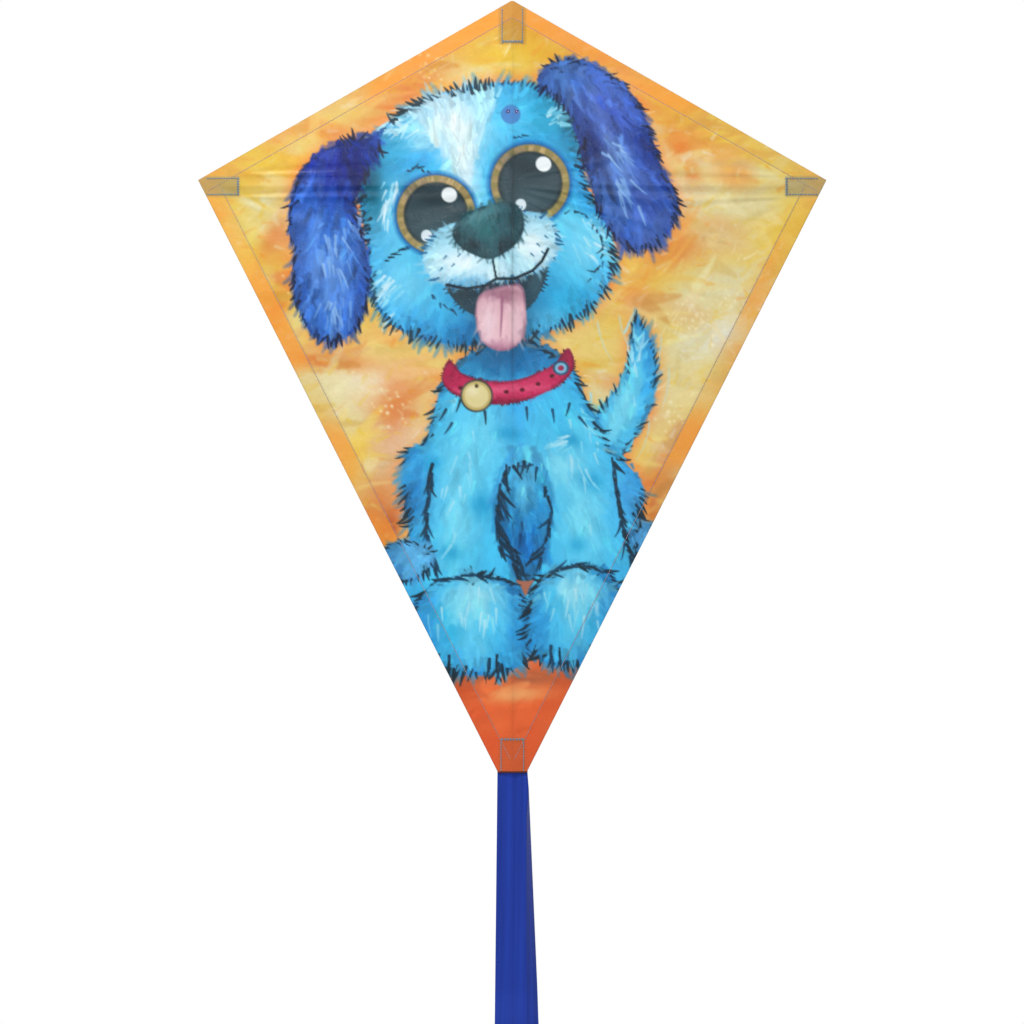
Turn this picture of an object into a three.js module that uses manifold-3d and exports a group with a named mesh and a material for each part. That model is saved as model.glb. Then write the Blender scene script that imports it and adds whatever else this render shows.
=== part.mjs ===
// Single-line diamond kite, 635 mm wide and 778 mm tall, with a ribbon tail folded away in a tied hank.
//
// Frame: millimetres, +Z up, +X to the right of someone facing the printed front, +Y to the back.
// The origin is the tow point: midway between the two line holes, on the front face of the sail.

import * as THREE from 'three';
import { mergeVertices } from 'three/addons/utils/BufferGeometryUtils.js';
import Module from 'manifold-3d';

const wasm = await Module();
wasm.setup();

// Driving dimensions
const SPAN = 635;                 // wing tip to wing tip
const HEIGHT = 778;               // nose to foot
const NOSE_TO_TOW = 111.3;
const NOSE_TO_TIPS = 179.4;
const NOSE_TO_SPREADER = 185.8;
const NOSE_WIDTH = 1.6;
const FOOT_WIDTH = 28;
const TIP_SETBACK = 32;           // how far the wing tips lie behind the spine line
const ROD_DIAMETER = 3.175;       // 1/8 in fibreglass rod
const CLOTH = 0.6;                // stand-in thickness of one layer of cloth
const GAP = 0.3;                  // clearance between neighbouring pieces

// Levels and edges of the sail
const NOSE_Z = NOSE_TO_TOW;
const TIP_Z = NOSE_Z - NOSE_TO_TIPS;
const SPREADER_Z = NOSE_Z - NOSE_TO_SPREADER;
const FOOT_Z = NOSE_Z - HEIGHT;
const HALF_SPAN = SPAN / 2;
const SAIL_SLOPE = TIP_SETBACK / HALF_SPAN;

// Line holes and the patch that reinforces them
const LINE_HOLE_RADIUS = 1.2;
const LINE_HOLE_X = 4.2;
const TOW_PATCH_RADIUS = 9.85;
const TOW_PATCH_X = -1.5;
const TOW_PATCH_Z = -3;
const DRILL_LENGTH = 12;          // of the solid that cuts a line hole

// Rods, their end caps and the fitting that crosses them
const ROD_RADIUS = ROD_DIAMETER / 2;
const BORE_RADIUS = ROD_RADIUS + GAP;
const CAP_RADIUS = 2.7;
const CAP_LENGTH = 14;
const CAP_WALL = 1.2;
const CAP_CHAMFER = 0.75;
const FITTING_RADIUS = 3.2;
const FITTING_WEB = 0.8;          // wall left between the two crossing bores
const FITTING_STANDOFF = 0.5;     // from the back of the sail to the fitting
const FITTING_SPINE_LENGTH = 26;
const FITTING_SPREADER_LENGTH = 30;
const SPINE_Y = CLOTH + FITTING_STANDOFF + FITTING_RADIUS;
const SPINE_TOP_Z = NOSE_Z - 14;
const SPINE_BOTTOM_Z = FOOT_Z + 13;
const SPREADER_Y = SPINE_Y + 2 * BORE_RADIUS + FITTING_WEB;
const SPREADER_END_X = HALF_SPAN - 14;
const CAP_MOUTH_X = SPREADER_END_X - CAP_LENGTH;
const CAP_STANDOFF = CLOTH + GAP + CAP_RADIUS;
const CAP_MOUTH_Y = SAIL_SLOPE * CAP_MOUTH_X + CAP_STANDOFF;
const SPREADER_BOW = (CAP_MOUTH_Y - SPREADER_Y) * (SPREADER_END_X / CAP_MOUTH_X) ** 2;

// Pockets: a sewn border flat on the sail and a tunnel over the capped rod end
const POCKET_LIFT = CLOTH + GAP;
const TUNNEL_FLAT = 3.2;
const TUNNEL_REACH = 7.5;
const TUNNEL_RUNOUT = 4.5;
const WING_POCKET_MOUTH_X = 275.7;
const WING_POCKET_HEIGHT = 20.6;
const NOSE_POCKET_HALF_WIDTH = 13.75;
const NOSE_POCKET_LENGTH = 44;
const FOOT_POCKET_HALF_WIDTH = 13.6;
const FOOT_POCKET_LENGTH = 35.3;
const POCKET_MARGIN = 0.4;        // between a pocket and the cut edge of the sail
const NOSE_POCKET_TOP_Z = NOSE_Z - 1;

// Thread
const THREAD_WIDTH = 0.8;
const THREAD_THICKNESS = 0.4;
const SEAM_INSET = 2.2;           // from a pocket's sides to its seam
const NOSE_SEAM_INSET = 3.5;
const UPPER_HEM = 15.6;
const LOWER_HEM = 18;
const UPPER_HEM_SPAN = [27, 322];     // start and end along the upper edge, from the nose
const LOWER_HEM_SPAN = [32, 634];     // start and end along the lower edge, from the wing tip
const MOUTH_INSET = 1;            // from a pocket's mouth to the ends of its seam
const NOSE_SEAM_TOP_Z = NOSE_Z - 8.5;
const SEAM_STEP = 12;             // longest straight step of a seam
const HEM_SEAM_STEP = 16;
const NOSE_SEAM_STEP = 3;         // short, because the seam turns over the tunnel

// Ribbon tail
const RIBBON = 0.8;               // stand-in thickness of the ribbon
const TAIL_TOP_Z = FOOT_Z + 8.5;
const TAIL_HINGE_Z = FOOT_Z - 1.6;
const HINGE_ROOM = 0.5;           // from the hinge line to the cloth on each side of it
const TAIL_LEFT_X = [-15, -17.8];     // at the foot, at the hank
const TAIL_RIGHT_X = [15.7, 27.1];
const TAIL_DROP_END_Z = FOOT_Z - 260;
const TAIL_MID_Y = 2.4;
const HANK_WIDTH = 50;
const HANK_LENGTH = 160;
const HANK_THICKNESS = 16;
const TIE_WIDTH = 9;
const TIE_THICKNESS = 1.4;
const TIE_CORNER = 2;             // outer radius of the band's corners
const TAIL_SEAM_Z = FOOT_Z + 4;
const TAIL_SEAM_HALF_WIDTH = 12;

const { lerp, clamp, smoothstep } = THREE.MathUtils;

// ---------------------------------------------------------------- shape of the sail

function halfWidth(z) {
  if (z > TIP_Z) {
    return lerp(NOSE_WIDTH / 2, HALF_SPAN, (NOSE_Z - z) / (NOSE_Z - TIP_Z));
  }
  return lerp(HALF_SPAN, FOOT_WIDTH / 2, clamp((TIP_Z - z) / (TIP_Z - FOOT_Z), 0, 1));
}

function upperEdgeZ(x) {
  return lerp(NOSE_Z, TIP_Z, clamp((Math.abs(x) - NOSE_WIDTH / 2) / (HALF_SPAN - NOSE_WIDTH / 2), 0, 1));
}

function lowerEdgeZ(x) {
  return lerp(FOOT_Z, TIP_Z, clamp((Math.abs(x) - FOOT_WIDTH / 2) / (HALF_SPAN - FOOT_WIDTH / 2), 0, 1));
}

function spreaderY(x) {
  return SPREADER_Y + SPREADER_BOW * (x / SPREADER_END_X) ** 2;
}

// Front face of the sail: two flat halves that slope back, pushed forward in a low ridge where the
// bowed spreader lies against the cloth. The ridge dies out in straight lines towards the edges.
function sailY(x, z) {
  const plane = SAIL_SLOPE * Math.abs(x);
  const push = Math.max(0, plane + CLOTH + GAP + ROD_RADIUS - spreaderY(x));
  const edgeZ = z > SPREADER_Z ? upperEdgeZ(x) : lowerEdgeZ(x);
  const fall = clamp(1 - (z - SPREADER_Z) / (edgeZ - SPREADER_Z), 0, 1);
  return plane - push * fall;
}

// ---------------------------------------------------------------- solids from grids of points

// Closes the space between two grids of points. Rows run downwards and columns to the right.
function gridSolid(front, back) {
  const rows = front.length;
  const columns = front[0].length;
  const at = (side, row, column) => (side * rows + row) * columns + column;
  const index = [];
  const quad = (a, b, c, d) => index.push(a, b, c, a, c, d);
  for (let row = 0; row < rows - 1; row += 1) {
    for (let column = 0; column < columns - 1; column += 1) {
      quad(at(0, row, column), at(0, row + 1, column), at(0, row + 1, column + 1), at(0, row, column + 1));
      quad(at(1, row, column), at(1, row, column + 1), at(1, row + 1, column + 1), at(1, row + 1, column));
    }
    const right = columns - 1;
    quad(at(0, row, 0), at(1, row, 0), at(1, row + 1, 0), at(0, row + 1, 0));
    quad(at(0, row, right), at(0, row + 1, right), at(1, row + 1, right), at(1, row, right));
  }
  for (let column = 0; column < columns - 1; column += 1) {
    const bottom = rows - 1;
    quad(at(0, 0, column), at(0, 0, column + 1), at(1, 0, column + 1), at(1, 0, column));
    quad(at(0, bottom, column), at(1, bottom, column), at(1, bottom, column + 1), at(0, bottom, column + 1));
  }
  const geometry = new THREE.BufferGeometry();
  geometry.setAttribute('position', new THREE.Float32BufferAttribute([...front.flat(2), ...back.flat(2)], 3));
  geometry.setIndex(index);
  geometry.computeVertexNormals();
  return geometry;
}

// A layer of cloth that follows the sail, lifted off its front face by lift(x, z). Each row has its
// columns at the x values that columnsAt(z) gives.
function clothLayer(rowsZ, columnsAt, lift, thickness = CLOTH) {
  const spot = (x, z, extra) => [x, sailY(x, z) + lift(x, z) + extra, z];
  const layer = (extra) => rowsZ.map((z) => columnsAt(z).map((x) => spot(x, z, extra)));
  return gridSolid(layer(0), layer(thickness));
}

// A flat thread along a path of [x, z] points, lying behind whatever has the given lift.
function thread(path, lift, maxStep = SEAM_STEP) {
  const points = [];
  path.slice(1).forEach((end, i) => {
    const start = path[i];
    const steps = Math.ceil(Math.hypot(end[0] - start[0], end[1] - start[1]) / maxStep);
    for (let step = 0; step < steps; step += 1) {
      const t = step / steps;
      points.push(new THREE.Vector2(lerp(start[0], end[0], t), lerp(start[1], end[1], t)));
    }
  });
  points.push(new THREE.Vector2(...path.at(-1)));
  const sideways = (a, b) => {
    const along = b.clone().sub(a).normalize();
    return new THREE.Vector2(-along.y, along.x);
  };
  const layer = (extra) => points.map((point, i) => {
    const first = Math.max(i, 1);
    const last = Math.min(i, points.length - 2);
    const before = sideways(points[first - 1], points[first]);
    const after = sideways(points[last], points[last + 1]);
    const mitre = before.clone().add(after).normalize();
    const reach = THREAD_WIDTH / 2 / mitre.dot(before);
    return [-reach, reach].map((offset) => {
      const x = point.x + mitre.x * offset;
      const z = point.y + mitre.y * offset;
      return [x, sailY(x, z) + lift(x, z) + GAP + extra, z];
    });
  });
  return gridSolid(layer(0), layer(THREAD_THICKNESS));
}

function evenly(count, from = 0, to = 1) {
  return Array.from({ length: count + 1 }, (_, i) => lerp(from, to, i / count));
}

// ---------------------------------------------------------------- joins and cuts

function toManifold(geometry) {
  const plain = geometry.clone();
  plain.deleteAttribute('normal');
  plain.deleteAttribute('uv');
  const merged = mergeVertices(plain, 1e-4);
  return new wasm.Manifold(new wasm.Mesh({
    numProp: 3,
    vertProperties: new Float32Array(merged.attributes.position.array),
    triVerts: new Uint32Array(merged.index.array),
  }));
}

function fromManifold(solid) {
  const { vertProperties, triVerts } = solid.getMesh();
  const geometry = new THREE.BufferGeometry();
  geometry.setAttribute('position', new THREE.Float32BufferAttribute(vertProperties, 3));
  geometry.setIndex([...triVerts]);
  geometry.computeVertexNormals();
  return geometry;
}

function cylinderAlongZ(radius, length, sides) {
  return new THREE.CylinderGeometry(radius, radius, length, sides).rotateX(Math.PI / 2);
}

function cylinderAlongX(radius, length, sides) {
  return new THREE.CylinderGeometry(radius, radius, length, sides).rotateZ(Math.PI / 2);
}

// ---------------------------------------------------------------- sail and tow patch

function withLineHoles(geometry) {
  let solid = toManifold(geometry);
  for (const x of [-LINE_HOLE_X, LINE_HOLE_X]) {
    const drill = new THREE.CylinderGeometry(LINE_HOLE_RADIUS, LINE_HOLE_RADIUS, DRILL_LENGTH, 12);
    solid = solid.subtract(toManifold(drill.translate(x, 0, 0)));
  }
  return fromManifold(solid);
}

function sailGeometry() {
  const rowsZ = [
    ...evenly(8, NOSE_Z, TIP_Z),
    SPREADER_Z,
    ...evenly(16, SPREADER_Z, FOOT_Z).slice(1),
  ];
  return withLineHoles(clothLayer(rowsZ, (z) => evenly(20, -halfWidth(z), halfWidth(z)), () => 0));
}

function towPatchGeometry() {
  const endAngle = 0.06;            // leaves a short flat at the top and the bottom
  const angles = evenly(12, endAngle, Math.PI - endAngle);
  const rowsZ = angles.map((angle) => TOW_PATCH_Z + TOW_PATCH_RADIUS * Math.cos(angle));
  const columnsAt = (z) => {
    const reach = Math.sqrt(TOW_PATCH_RADIUS ** 2 - (z - TOW_PATCH_Z) ** 2);
    return evenly(6, TOW_PATCH_X - reach, TOW_PATCH_X + reach);
  };
  return withLineHoles(clothLayer(rowsZ, columnsAt, () => POCKET_LIFT));
}

// ---------------------------------------------------------------- pockets

// 1 up to flat, 0 from reach on, and smooth between.
function fallOff(distance, flat, reach) {
  return 1 - smoothstep(distance, flat, reach);
}

function tunnelLift(across, pastCap, rodStandoff) {
  const dome = fallOff(Math.abs(across), TUNNEL_FLAT, TUNNEL_REACH) * fallOff(pastCap, 0, TUNNEL_RUNOUT);
  return lerp(POCKET_LIFT, rodStandoff + CAP_RADIUS + GAP, dome);
}

function wingPocketLift(x, z) {
  const rodStandoff = spreaderY(x) - sailY(x, SPREADER_Z);
  return tunnelLift(z - SPREADER_Z, Math.abs(x) - SPREADER_END_X, rodStandoff);
}

function spinePocketLift(x, z) {
  const pastCap = Math.max(z - SPINE_TOP_Z, SPINE_BOTTOM_Z - z);
  return tunnelLift(x, pastCap, SPINE_Y);
}

// Grid lines across a tunnel, from its middle outwards
const TUNNEL_STEPS = [TUNNEL_FLAT, (TUNNEL_FLAT + TUNNEL_REACH) / 2, TUNNEL_REACH];

function mirrored(steps) {
  return [...steps.map((step) => -step).reverse(), 0, ...steps];
}

function wingPocketGeometry(side) {
  const steps = mirrored([...TUNNEL_STEPS, WING_POCKET_HEIGHT / 2]);
  const rowsZ = steps.reverse().map((step) => SPREADER_Z + step);
  const columnsAt = (z) => {
    const outward = [
      ...evenly(2, WING_POCKET_MOUTH_X, SPREADER_END_X),
      ...evenly(3, SPREADER_END_X, SPREADER_END_X + TUNNEL_RUNOUT).slice(1),
      halfWidth(z) - POCKET_MARGIN,
    ];
    return side > 0 ? outward : outward.map((x) => -x).reverse();
  };
  return clothLayer(rowsZ, columnsAt, wingPocketLift);
}

// Near the nose, where the pocket is narrower than its tunnel, the grid lines are drawn together.
function spinePocketColumns(halfWidthAt) {
  return (z) => {
    const edge = halfWidthAt(z);
    const squeeze = Math.min(1, edge / NOSE_POCKET_HALF_WIDTH);
    return mirrored([...TUNNEL_STEPS.map((step) => step * squeeze), edge]);
  };
}

function nosePocketGeometry() {
  const rowsZ = [
    NOSE_POCKET_TOP_Z,
    (NOSE_POCKET_TOP_Z + SPINE_TOP_Z) / 2,
    ...evenly(3, SPINE_TOP_Z + TUNNEL_RUNOUT, SPINE_TOP_Z),
    ...evenly(2, SPINE_TOP_Z, NOSE_Z - NOSE_POCKET_LENGTH).slice(1),
  ];
  const edgeAt = (z) => Math.min(NOSE_POCKET_HALF_WIDTH, halfWidth(z) - POCKET_MARGIN);
  return clothLayer(rowsZ, spinePocketColumns(edgeAt), spinePocketLift);
}

function footPocketGeometry() {
  const rowsZ = [
    ...evenly(2, FOOT_Z + FOOT_POCKET_LENGTH, SPINE_BOTTOM_Z),
    ...evenly(3, SPINE_BOTTOM_Z, SPINE_BOTTOM_Z - TUNNEL_RUNOUT).slice(1),
    FOOT_Z + POCKET_MARGIN,
  ];
  return clothLayer(rowsZ, spinePocketColumns(() => FOOT_POCKET_HALF_WIDTH), spinePocketLift);
}

// ---------------------------------------------------------------- thread

function behind(lift) {
  return (x, z) => lift(x, z) + CLOTH;
}

function wingSeamGeometry(side) {
  const top = SPREADER_Z + WING_POCKET_HEIGHT / 2 - SEAM_INSET;
  const bottom = SPREADER_Z - WING_POCKET_HEIGHT / 2 + SEAM_INSET;
  const mouth = side * (WING_POCKET_MOUTH_X + MOUTH_INSET);
  const end = side * (SPREADER_END_X + TUNNEL_RUNOUT + MOUTH_INSET);
  return thread([[mouth, top], [end, top], [end, bottom], [mouth, bottom]], behind(wingPocketLift));
}

function noseSeamGeometry() {
  const x = NOSE_POCKET_HALF_WIDTH - NOSE_SEAM_INSET;
  const mouth = NOSE_Z - NOSE_POCKET_LENGTH + MOUTH_INSET;
  const corners = [[-x, mouth], [-x, NOSE_SEAM_TOP_Z], [x, NOSE_SEAM_TOP_Z], [x, mouth]];
  return thread(corners, behind(spinePocketLift), NOSE_SEAM_STEP);
}

function footSeamGeometry(side) {
  const x = side * (FOOT_POCKET_HALF_WIDTH - SEAM_INSET);
  const bottom = TAIL_TOP_Z + MOUTH_INSET;
  const mouth = FOOT_Z + FOOT_POCKET_LENGTH - MOUTH_INSET;
  return thread([[x, mouth], [x, bottom]], behind(spinePocketLift));
}

// Runs parallel to an edge of the sail, inset from it, between two distances along the edge.
function hemSeamGeometry(side, from, to, inset, span) {
  const along = new THREE.Vector2(to[0] - from[0], to[1] - from[1]).normalize();
  const inward = new THREE.Vector2(along.y, -along.x).multiplyScalar(inset);
  const point = (distance) => {
    const spot = new THREE.Vector2(...from).addScaledVector(along, distance).add(inward);
    return [side * spot.x, spot.y];
  };
  return thread(span.map(point), () => CLOTH, HEM_SEAM_STEP);
}

// ---------------------------------------------------------------- rods, caps and fitting

function endCap(tip, outward) {
  const profile = [
    [0, 0],
    [CAP_RADIUS - CAP_CHAMFER, 0],
    [CAP_RADIUS, -CAP_CHAMFER],
    [CAP_RADIUS, -CAP_LENGTH],
    [BORE_RADIUS, -CAP_LENGTH],
    [BORE_RADIUS, -CAP_WALL],
    [0, -CAP_WALL],
  ].reverse().map(([radius, height]) => new THREE.Vector2(radius, height));
  const cap = new THREE.Mesh(new THREE.LatheGeometry(profile, 12));
  cap.quaternion.setFromUnitVectors(new THREE.Vector3(0, 1, 0), outward.clone().normalize());
  cap.position.copy(tip);
  return cap;
}

function spineGeometry() {
  const endRoom = CAP_WALL + GAP;
  const length = SPINE_TOP_Z - SPINE_BOTTOM_Z - 2 * endRoom;
  return cylinderAlongZ(ROD_RADIUS, length, 12).translate(0, SPINE_Y, (SPINE_TOP_Z + SPINE_BOTTOM_Z) / 2);
}

function spineCap(z, upwards) {
  return endCap(new THREE.Vector3(0, SPINE_Y, z), new THREE.Vector3(0, 0, upwards));
}

function spreaderCap(side) {
  const tip = new THREE.Vector3(side * SPREADER_END_X, spreaderY(SPREADER_END_X), SPREADER_Z);
  return endCap(tip, new THREE.Vector3(side, 2 * SPREADER_BOW / SPREADER_END_X, 0));
}

function spreaderGeometry() {
  const reach = SPREADER_END_X - CAP_WALL - GAP;
  const endY = spreaderY(reach);
  const curve = new THREE.QuadraticBezierCurve3(
    new THREE.Vector3(-reach, endY, SPREADER_Z),
    new THREE.Vector3(0, 2 * SPREADER_Y - endY, SPREADER_Z),
    new THREE.Vector3(reach, endY, SPREADER_Z),
  );
  const section = new THREE.Shape(evenly(10).slice(0, -1).map((turn) => {
    const angle = 2 * Math.PI * turn;
    return new THREE.Vector2(ROD_RADIUS * Math.cos(angle), ROD_RADIUS * Math.sin(angle));
  }));
  return new THREE.ExtrudeGeometry(section, { steps: 28, extrudePath: curve, bevelEnabled: false });
}

function centreFittingGeometry() {
  const alongSpine = (radius, length) => (
    toManifold(cylinderAlongZ(radius, length, 16).translate(0, SPINE_Y, SPREADER_Z))
  );
  const alongSpreader = (radius, length) => (
    toManifold(cylinderAlongX(radius, length, 16).translate(0, SPREADER_Y, SPREADER_Z))
  );
  const barrels = alongSpine(FITTING_RADIUS, FITTING_SPINE_LENGTH)
    .add(alongSpreader(FITTING_RADIUS, FITTING_SPREADER_LENGTH));
  const bored = barrels
    .subtract(alongSpine(BORE_RADIUS, 2 * FITTING_SPINE_LENGTH))
    .subtract(alongSpreader(BORE_RADIUS, 2 * FITTING_SPREADER_LENGTH));
  return fromManifold(bored);
}

// ---------------------------------------------------------------- tail

function tailEdges(z) {
  const t = clamp((FOOT_Z - z) / (FOOT_Z - TAIL_DROP_END_Z), 0, 1);
  return [lerp(...TAIL_LEFT_X, t), lerp(...TAIL_RIGHT_X, t)];
}

function tailColumns(z) {
  return evenly(4, ...tailEdges(z));
}

// The root lies in the V of the sail, and the ribbon is flat from the hinge down.
function tailLift(x, z) {
  const sewn = POCKET_LIFT + CLOTH + GAP;
  const flattening = smoothstep(FOOT_Z - z, 0, FOOT_Z - TAIL_HINGE_Z - HINGE_ROOM);
  return lerp(sewn, TAIL_MID_Y - RIBBON / 2 - sailY(x, z), flattening);
}

function tailRootGeometry() {
  const rowsZ = [TAIL_TOP_Z, FOOT_Z, TAIL_HINGE_Z + HINGE_ROOM];
  return clothLayer(rowsZ, tailColumns, tailLift, RIBBON);
}

function tailSeamGeometry() {
  const path = [-TAIL_SEAM_HALF_WIDTH, 0, TAIL_SEAM_HALF_WIDTH].map((x) => [x, TAIL_SEAM_Z]);
  return thread(path, (x, z) => tailLift(x, z) + RIBBON);
}

function tailRibbonGeometry() {
  const rowsZ = evenly(10, TAIL_HINGE_Z - HINGE_ROOM, TAIL_DROP_END_Z);
  return clothLayer(rowsZ, tailColumns, tailLift, RIBBON);
}

function hankCentre() {
  const [left, right] = tailEdges(TAIL_DROP_END_Z);
  return new THREE.Vector3((left + right) / 2, TAIL_MID_Y, TAIL_DROP_END_Z - GAP - HANK_LENGTH / 2);
}

// Seen from the side, the folded runs make an outline with two round ends.
function hankGeometry() {
  const straight = HANK_LENGTH / 2 - HANK_THICKNESS / 2;
  const outline = new THREE.Shape();
  outline.absarc(0, straight, HANK_THICKNESS / 2, 0, Math.PI);
  outline.absarc(0, -straight, HANK_THICKNESS / 2, Math.PI, 2 * Math.PI);
  outline.closePath();
  const centre = hankCentre();
  return new THREE.ExtrudeGeometry(outline, { depth: HANK_WIDTH, bevelEnabled: false, curveSegments: 8 })
    .translate(0, 0, -HANK_WIDTH / 2)
    .rotateY(Math.PI / 2)
    .rotateX(Math.PI / 2)
    .translate(centre.x, centre.y, centre.z);
}

function roundedBox(width, height, radius) {
  const [x, y] = [width / 2 - radius, height / 2 - radius];
  const shape = new THREE.Shape();
  shape.absarc(x, y, radius, 0, Math.PI / 2);
  shape.absarc(-x, y, radius, Math.PI / 2, Math.PI);
  shape.absarc(-x, -y, radius, Math.PI, 1.5 * Math.PI);
  shape.absarc(x, -y, radius, 1.5 * Math.PI, 2 * Math.PI);
  shape.closePath();
  return shape;
}

function tieGeometry() {
  const width = HANK_WIDTH + 2 * GAP;
  const height = HANK_THICKNESS + 2 * GAP;
  const band = roundedBox(width + 2 * TIE_THICKNESS, height + 2 * TIE_THICKNESS, TIE_CORNER);
  band.holes.push(roundedBox(width, height, TIE_CORNER - TIE_THICKNESS));
  const centre = hankCentre();
  return new THREE.ExtrudeGeometry(band, { depth: TIE_WIDTH, bevelEnabled: false, curveSegments: 3 })
    .translate(centre.x, centre.y, centre.z - TIE_WIDTH / 2);
}

// ---------------------------------------------------------------- materials and assembly

function finish(color, roughness) {
  return () => new THREE.MeshStandardMaterial({ color, roughness, metalness: 0 });
}

const sailCloth = finish(0xe9963c, 0.45);
const pocketCloth = finish(0xb9a57d, 0.6);
const patchFilm = finish(0x4a63b0, 0.4);
const fibreglass = finish(0x1d1f22, 0.35);
const vinyl = finish(0x16171a, 0.55);
const seamThread = finish(0x8f8790, 0.7);
const ribbonCloth = finish(0x293c9c, 0.4);
const elastic = finish(0x1b1b1f, 0.8);

const kite = new THREE.Group();

function place(name, shape, material) {
  const mesh = shape.isMesh ? shape : new THREE.Mesh(shape);
  mesh.name = name;
  mesh.material = material();
  kite.add(mesh);
}

place('sail', sailGeometry(), sailCloth);
place('tow_patch', towPatchGeometry(), patchFilm);
place('nose_pocket', nosePocketGeometry(), pocketCloth);
place('foot_pocket', footPocketGeometry(), pocketCloth);
place('nose_pocket_seam', noseSeamGeometry(), seamThread);

place('spine_rod', spineGeometry(), fibreglass);
place('spreader_rod', spreaderGeometry(), fibreglass);
place('centre_fitting', centreFittingGeometry(), vinyl);
place('nose_end_cap', spineCap(SPINE_TOP_Z, 1), vinyl);
place('foot_end_cap', spineCap(SPINE_BOTTOM_Z, -1), vinyl);

const NOSE = [0, NOSE_Z];
const TIP = [HALF_SPAN, TIP_Z];
const FOOT_CORNER = [FOOT_WIDTH / 2, FOOT_Z];

for (const [name, side] of [['left', -1], ['right', 1]]) {
  place(`foot_pocket_seam_${name}`, footSeamGeometry(side), seamThread);
  place(`${name}_wing_pocket`, wingPocketGeometry(side), pocketCloth);
  place(`${name}_wing_pocket_seam`, wingSeamGeometry(side), seamThread);
  place(`${name}_end_cap`, spreaderCap(side), vinyl);
  place(`upper_${name}_hem_seam`, hemSeamGeometry(side, NOSE, TIP, UPPER_HEM, UPPER_HEM_SPAN), seamThread);
  const lowerSeam = hemSeamGeometry(side, TIP, FOOT_CORNER, LOWER_HEM, LOWER_HEM_SPAN);
  place(`lower_${name}_hem_seam`, lowerSeam, seamThread);
}

place('tail_root', tailRootGeometry(), ribbonCloth);
place('tail_seam', tailSeamGeometry(), seamThread);
place('tail_ribbon', tailRibbonGeometry(), ribbonCloth);
place('tail_hank', hankGeometry(), ribbonCloth);
place('tail_tie', tieGeometry(), elastic);

export default kite;
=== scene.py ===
# Diamond kite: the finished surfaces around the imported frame. Metres, +Z up, +X to the right of
# someone who faces the print, +Y to the back, origin at the tow point.

import math

import bpy
import numpy as np
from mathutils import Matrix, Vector


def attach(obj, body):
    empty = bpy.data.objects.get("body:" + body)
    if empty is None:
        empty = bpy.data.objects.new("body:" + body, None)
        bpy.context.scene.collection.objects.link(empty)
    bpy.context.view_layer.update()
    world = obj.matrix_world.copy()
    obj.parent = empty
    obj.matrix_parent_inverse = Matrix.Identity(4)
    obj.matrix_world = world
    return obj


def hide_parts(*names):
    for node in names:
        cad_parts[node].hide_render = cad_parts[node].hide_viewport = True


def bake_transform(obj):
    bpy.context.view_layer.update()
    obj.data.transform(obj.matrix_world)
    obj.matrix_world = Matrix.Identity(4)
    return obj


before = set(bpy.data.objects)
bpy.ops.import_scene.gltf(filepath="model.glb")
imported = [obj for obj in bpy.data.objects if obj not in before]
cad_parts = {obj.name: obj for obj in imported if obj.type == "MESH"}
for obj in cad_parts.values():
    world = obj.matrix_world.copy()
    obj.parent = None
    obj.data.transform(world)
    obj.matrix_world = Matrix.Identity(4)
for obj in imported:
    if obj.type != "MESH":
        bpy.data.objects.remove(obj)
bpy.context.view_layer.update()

# ---------------------------------------------------------------- sizes, as in the CAD model

MM = 0.001

SPAN = 635 * MM
HEIGHT = 778 * MM
NOSE_Z = 111.3 * MM
TIP_Z = NOSE_Z - 179.4 * MM
SPREADER_Z = NOSE_Z - 185.8 * MM
FOOT_Z = NOSE_Z - HEIGHT
NOSE_WIDTH = 1.6 * MM
FOOT_WIDTH = 28 * MM
HALF_SPAN = SPAN / 2
SAIL_SLOPE = 32 * MM / HALF_SPAN
CLOTH = 0.6 * MM
GAP = 0.3 * MM

LINE_HOLE_X = 4.2 * MM
TOW_PATCH_RADIUS = 9.85 * MM
TOW_PATCH_X = -1.5 * MM
TOW_PATCH_Z = -3 * MM

ROD_RADIUS = 3.175 * MM / 2
BORE_RADIUS = ROD_RADIUS + GAP
CAP_RADIUS = 2.7 * MM
CAP_LENGTH = 14 * MM
CAP_WALL = 1.2 * MM
FITTING_SPINE_LENGTH = 26 * MM
FITTING_SPREADER_LENGTH = 30 * MM
SPINE_Y = 4.3 * MM
SPINE_TOP_Z = NOSE_Z - 14 * MM
SPINE_BOTTOM_Z = FOOT_Z + 13 * MM
SPREADER_Y = SPINE_Y + 2 * BORE_RADIUS + 0.8 * MM
SPREADER_END_X = HALF_SPAN - 14 * MM
CAP_MOUTH_X = SPREADER_END_X - CAP_LENGTH
CAP_MOUTH_Y = SAIL_SLOPE * CAP_MOUTH_X + CLOTH + GAP + CAP_RADIUS
SPREADER_BOW = (CAP_MOUTH_Y - SPREADER_Y) * (SPREADER_END_X / CAP_MOUTH_X) ** 2

POCKET_LIFT = CLOTH + GAP
TUNNEL_FLAT = 3.2 * MM
TUNNEL_REACH = 7.5 * MM
TUNNEL_RUNOUT = 4.5 * MM
WING_POCKET_MOUTH_X = 275.7 * MM
WING_POCKET_HEIGHT = 20.6 * MM
NOSE_POCKET_HALF_WIDTH = 13.75 * MM
NOSE_POCKET_LENGTH = 44 * MM
FOOT_POCKET_HALF_WIDTH = 13.6 * MM
FOOT_POCKET_LENGTH = 35.3 * MM
POCKET_MARGIN = 0.4 * MM
SEAM_INSET = 2.2 * MM
NOSE_SEAM_INSET = 3.5 * MM
UPPER_HEM = 15.6 * MM
LOWER_HEM = 18 * MM
UPPER_HEM_SPAN = (27 * MM, 322 * MM)
LOWER_HEM_SPAN = (32 * MM, 634 * MM)

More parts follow.
